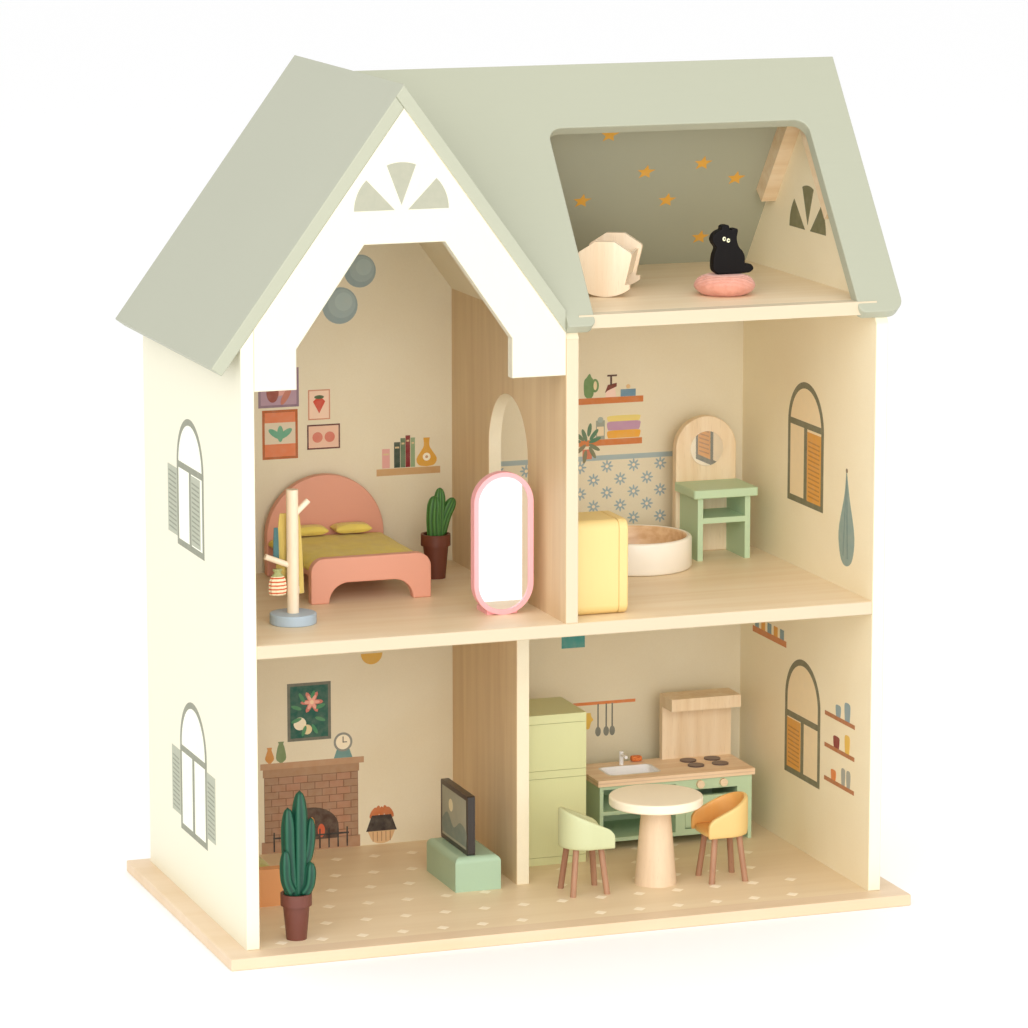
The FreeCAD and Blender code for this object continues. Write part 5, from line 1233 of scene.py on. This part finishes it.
def cactus(name, node, body, lobes, material, ribs=9, depth=0.1):
    """Lobes in one mesh, each a route, a radius in millimetres and the share that its foot takes."""
    grids, tones = [], []
    for points, radius, foot in lobes:
        path = smooth_path(points, 34)
        grids.append(along(house(*path.T), dome_ends(34, foot, 0.28) * radius * MM, 1.0, ribs, depth))
        # How high on a rib each point lies; the finish paints shade into the grooves by it.
        tones.append(np.tile(0.5 + 0.5 * np.cos(ribs * TURN), (34, 1)))
    plant = piece(name, mesh_of(name, grids, tones=tones), body, material)
    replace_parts(plant, node)
    print(name, "has", len(lobes), "lobes")


cactus("short_cactus_lobes", "short_cactus_plant", "short_cactus",
       [([(216.5, 200, 260), (217, 200, 280), (217.8, 200.5, 299.3)], 4.3, 0.0),
        ([(212.5, 199, 260), (211.6, 198.6, 276), (213, 198.6, 293.5)], 5.2, 0.0),
        ([(218, 201, 262), (222.5, 201, 277), (229.4, 201.5, 290.5)], 4.3, 0.1)],
       cactus_finish("cactus_short_skin", linear(44, 84, 34), linear(84, 138, 62)))
cactus("tall_cactus_lobes", "tall_cactus_plant", "tall_cactus",
       [([(46.5, 20, 31.5), (47, 20.5, 70), (47.5, 21, 112.5)], 5.9, 0.0),
        ([(40.5, 19, 31.5), (38.2, 18.6, 65), (37.6, 18.6, 101)], 5.2, 0.0),
        ([(49, 21, 54), (54, 21.4, 66), (56.6, 22, 91)], 4.2, 0.12),
        ([(48, 16, 34), (52.6, 14.5, 43), (54, 14.6, 59)], 4.2, 0.12),
        ([(39.5, 15, 36), (34.6, 13.8, 48), (34, 13.6, 70)], 4.2, 0.12)],
       cactus_finish("cactus_tall_skin", linear(10, 58, 44), linear(30, 98, 70)), 6, 0.07)

# %% [markdown]
# ## The cat
#
# The cat is sawn from a black board: an outline with softened edges. A smooth curve through the
# outline's points gives its rim; rings drawn a little inwards at both faces round the edge over.

# %% Cat
CAT = [(-.185, .01), (-.29, .09), (-.31, .235), (-.29, .40), (-.24, .54), (-.31, .64), (-.335, .72),
       (-.30, .81), (-.21, .88), (-.13, .91), (-.115, .97), (-.046, 1), (.046, .99), (.07, .91),
       (.104, .89), (.139, .92), (.24, .92), (.266, .87), (.24, .72), (.29, .56), (.38, .46),
       (.43, .36), (.44, .215), (.51, .20), (.58, .19), (.635, .12), (.60, .06), (.46, .02)]
CAT_WIDTH = 35 * MM
low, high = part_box("cat")
cat_x = (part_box("pouffe")[0].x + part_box("pouffe")[1].x) / 2
outline = smooth_path(np.array(CAT + CAT[:1]), 180)[:-1]
outline *= (CAT_WIDTH, high.z - low.z)
slope = np.roll(outline, -1, 0) - np.roll(outline, 1, 0)
inward = np.stack([-slope[:, 1], slope[:, 0]], -1)
inward *= -np.sign((outline * inward).sum()) / np.linalg.norm(inward, axis=1)[:, None]
ROUND_OVER = 0.9 * MM
steps = [(ROUND_OVER * (1 - np.sin(a)), low.y + ROUND_OVER * (1 - np.cos(a)))
         for a in np.linspace(0, np.pi / 2, 6)]
steps += [(s, low.y + high.y - y) for s, y in steps[::-1]]
rings = [np.stack([cat_x + (outline + inward * s)[:, 0], np.full(len(outline), y),
                   low.z + (outline + inward * s)[:, 1]], -1) for s, y in steps]
mesh = bpy.data.meshes.new("cat_board")
count, levels = len(outline), len(rings)
ends = [list(range(count)), list(range(count * levels - 1, count * (levels - 1) - 1, -1))]
mesh.from_pydata(np.vstack(rings).tolist(), [], cells_of(levels, count).tolist() + ends)
face_outwards(mesh)
cat_look = Finish("cat_black_paint", 0.6, Specular_IOR_Level=0.2)
brush = cat_look.noise(500, 2, GRAIN["Z"])
cat_look.colour(cat_look.mix(brush, linear(6, 4, 4), linear(18, 14, 14)))
cat_look.bump(brush, 0.00005)
cat_board = piece("cat_board", mesh, "cat_figure", cat_look.material)
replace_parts(cat_board, "cat")
face = Print((cat_x, low.y, low.z), X, Z, -Y)
tall = (high.z - low.z) / MM
for u, v in ((-2.2, 0.725), (1.2, 0.69)):
    face.fill((235, 235, 190), round_shape(u, v * tall, 1.35, 1.6), 0)
    face.disc((14, 12, 12), u + 0.3, v * tall, 0.7, 1)
face.press("cat_eyes", "cat_figure")
print("cat", count, "points round,", round(tall, 1), "mm tall")

# %% [markdown]
# ## Tub chairs
#
# A chair's shell is a wall bent round half a circle, straight towards its front, falling from the
# back to the arms, with its front corners rounded. A closed ring across the wall is carried along
# that path. The inside of the wall and the seat take a deeper tone.

# %% Chair shells
CHAIR_BACK, CHAIR_ARM, CHAIR_CORNER, CHAIR_WALL = 0.031, 0.013, 0.006, 0.004
SEAT_SQUARE = 0.35


def chair_shell(node, body, facing, outside, inside):
    """Rounded rings across the wall along its half-round path, and a seat inside it."""
    low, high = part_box(node)
    radius, wall = (high.y - low.y) / 2, CHAIR_WALL
    reach = (high.x - low.x) - radius
    middle = np.array([low.x + radius if facing > 0 else high.x - radius, (low.y + high.y) / 2])
    length = np.linspace(-1, 1, 121)
    centre_line = radius - wall / 2
    bend = np.pi * centre_line / 2
    run = length * (reach + bend)
    turn = np.clip(run / centre_line, -np.pi / 2, np.pi / 2)
    past = np.maximum(0, np.abs(run) - bend)
    way = np.stack([-np.cos(turn), np.sin(turn)], -1)
    spot = way * centre_line + np.stack([past, 0 * past], -1)
    fall = (spot[:, 0] + radius) / (reach + radius)
    top = CHAIR_BACK + (CHAIR_ARM - CHAIR_BACK) * fall
    near = np.clip(past - (reach - CHAIR_CORNER), 0, CHAIR_CORNER)
    top = top - CHAIR_CORNER + np.sqrt(CHAIR_CORNER ** 2 - near ** 2 + 1e-12)
    around = np.linspace(0, 2 * np.pi, 40, endpoint=False)
    across, rise = np.cos(around), np.sin(around)
    squared = (np.abs(across) ** 6 + np.abs(rise) ** 6) ** (1 / 6)
    across, rise = across / squared, rise / squared
    close = np.where(np.abs(length) == 1, 0, 1)[:, None]
    thin = wall / 2 * across * close
    points = spot[:, None] + way[:, None] * thin[..., None]
    z = low.z + top[:, None] / 2 * (1 + rise * close)
    shell = np.stack([middle[0] + facing * points[..., 0], middle[1] + points[..., 1], z], -1)
    tones = np.tile((across < -0.5).astype(float), (len(length), 1))
    rim = np.linspace(0, 2 * np.pi, 96, endpoint=False)
    forward = np.cos(rim) > 0
    circle = np.stack([np.cos(rim), np.sin(rim)], -1)
    squarish = np.sign(circle) * np.abs(circle) ** SEAT_SQUARE
    plan = np.where(forward[:, None], squarish, circle)
    size = np.where(forward, reach - 0.001, radius - wall * 0.7)
    share = np.array([0, 0.6, 0.97, 1.0, 1.0, 0.97, 0.6, 0])[:, None]
    level = np.array([0.0, 0.0, 0.0, 0.0008, 0.0036, 0.0044, 0.0046, 0.0046])[:, None]
    seat = np.stack([middle[0] + facing * share * plan[:, 0] * size,
                     middle[1] + share * plan[:, 1] * (radius - wall * 0.7),
                     low.z + 0.0002 + level + 0 * rim], -1)
    seat_tones = np.tile(np.where(level > 0.002, 1.0, 0.0), (1, 96))
    look = Finish(node + "_shell", 0.45)
    brush = look.noise(420, 2, GRAIN["Z"])
    paint = look.toned(outside, inside)
    look.colour(look.mix(brush * 0.25, paint, shade(outside, 0.9)))
    look.bump(brush, 0.00005)
    made = piece(node + "_shell", mesh_of(node, [shell, seat], tones=[tones, seat_tones]), body,
                 look.material)
    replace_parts(made, node)
    print(node, "falls from", round(top.max() / MM, 1), "to", round(top.min() / MM, 1), "mm")


chair_shell("green_chair_seat", "green_chair", 1, linear(206, 210, 164),
            linear(196, 194, 144))
chair_shell("yellow_chair_seat", "yellow_chair", -1, linear(232, 198, 128),
            linear(228, 164, 84))

# %% [markdown]
# ## Tub, sponge and television picture
#
# The tub is turned, so it is a profile spun round its axis: white outside and over its rounded rim,
# warm wood inside. The television shows a pale, foggy picture, which is a print of three shapes.

# %% Tub, sponge and picture
low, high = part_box("bath_tub")
radius, tall, wall = (high.x - low.x) / 2, high.z - low.z, 0.005
quarter = np.linspace(0, np.pi, 9)
rim_profile = [(radius - wall / 2 + wall / 2 * math.cos(a), tall - wall / 2 + wall / 2 * math.sin(a))
               for a in quarter]
profile = [(0, 0), (radius * 0.9, 0), (radius - 0.0015, 0.0004), (radius, 0.002)] + rim_profile
profile += [(radius - wall, 0.008), (radius - wall - 0.002, 0.0055), (radius * 0.75, 0.005), (0, 0.005)]
inner = np.array([0.0] * (4 + 6) + [1.0] * (3 + 4))
tub_look = Finish("tub_enamel", 0.3)
drift = tub_look.noise(30, 3)
grain = tub_look.noise(200, 4, GRAIN["X"])
wood = tub_look.mix(grain.between(0.35, 0.65), linear(240, 206, 162), linear(222, 180, 132))
white = tub_look.mix(drift, linear(250, 240, 222), linear(255, 250, 238))
tub_look.colour(tub_look.toned(white, wood))
tub_look.bump(grain, 0.00004)
spun = lathe(profile, ((low.x + high.x) / 2, (low.y + high.y) / 2, low.z))
tub_piece = piece("tub_turned", mesh_of("tub", [spun], tones=[np.tile(inner[:, None], (1, len(TURN)))]),
                  "tub", tub_look.material)
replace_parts(tub_piece, "bath_tub")

spot = house(396, 234.6, 0)
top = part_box("kitchen_worktop")[1].z
sponge_look = Finish("sponge_orange", 0.95)
cells_noise = sponge_look.noise(1400, 3)
pores = cells_noise.between(0.4, 0.6)
sponge_look.colour(sponge_look.mix(pores, linear(200, 100, 50), linear(242, 146, 80)))
sponge_look.bump(cells_noise, 0.0003)
half = np.array([0.0045, 0.003])
form = slab_form((*(spot[:2] - half), top + 0.0001), (*(spot[:2] + half), top + 0.0045))
piece("kitchen_sponge", mesh_of("sponge", [form]), "kitchen", sponge_look.material)

low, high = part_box("tv_screen")
picture = Print((low.x, low.y, low.z), Y, Z, -X)
wide, tall = (high.y - low.y) / MM, (high.z - low.z) / MM
picture.box((150, 152, 136), 4, wide - 4, 4, tall - 4)
picture.fill((112, 126, 118), smooth_path([(4, 6), (4, 18), (18, 22), (34, 15), (48, 24), (wide - 4, 16),
                                           (wide - 4, 6)], 40), 1)
picture.disc((215, 205, 170), wide * 0.62, tall * 0.66, 5, 1)
picture.press("tv_picture", "television")
print("tub, sponge and television picture ready")

# %% [markdown]
# ## Floor and finishing
#
# The studio floor isn't part of the toy.

# %% Finish
floor_mesh = bpy.data.meshes.new("studio_floor")
floor_mesh.from_pydata([(-30, -30, 0), (30, -30, 0), (30, 30, 0), (-30, 30, 0)], [], [(0, 1, 2, 3)])
studio_floor = bpy.data.objects.new("studio_floor", floor_mesh)
floor_look = Finish("studio_white", 0.9)
floor_look.colour((0.99, 0.99, 0.99, 1))
studio_floor.data.materials.append(floor_look.material)
scene.collection.objects.link(studio_floor)
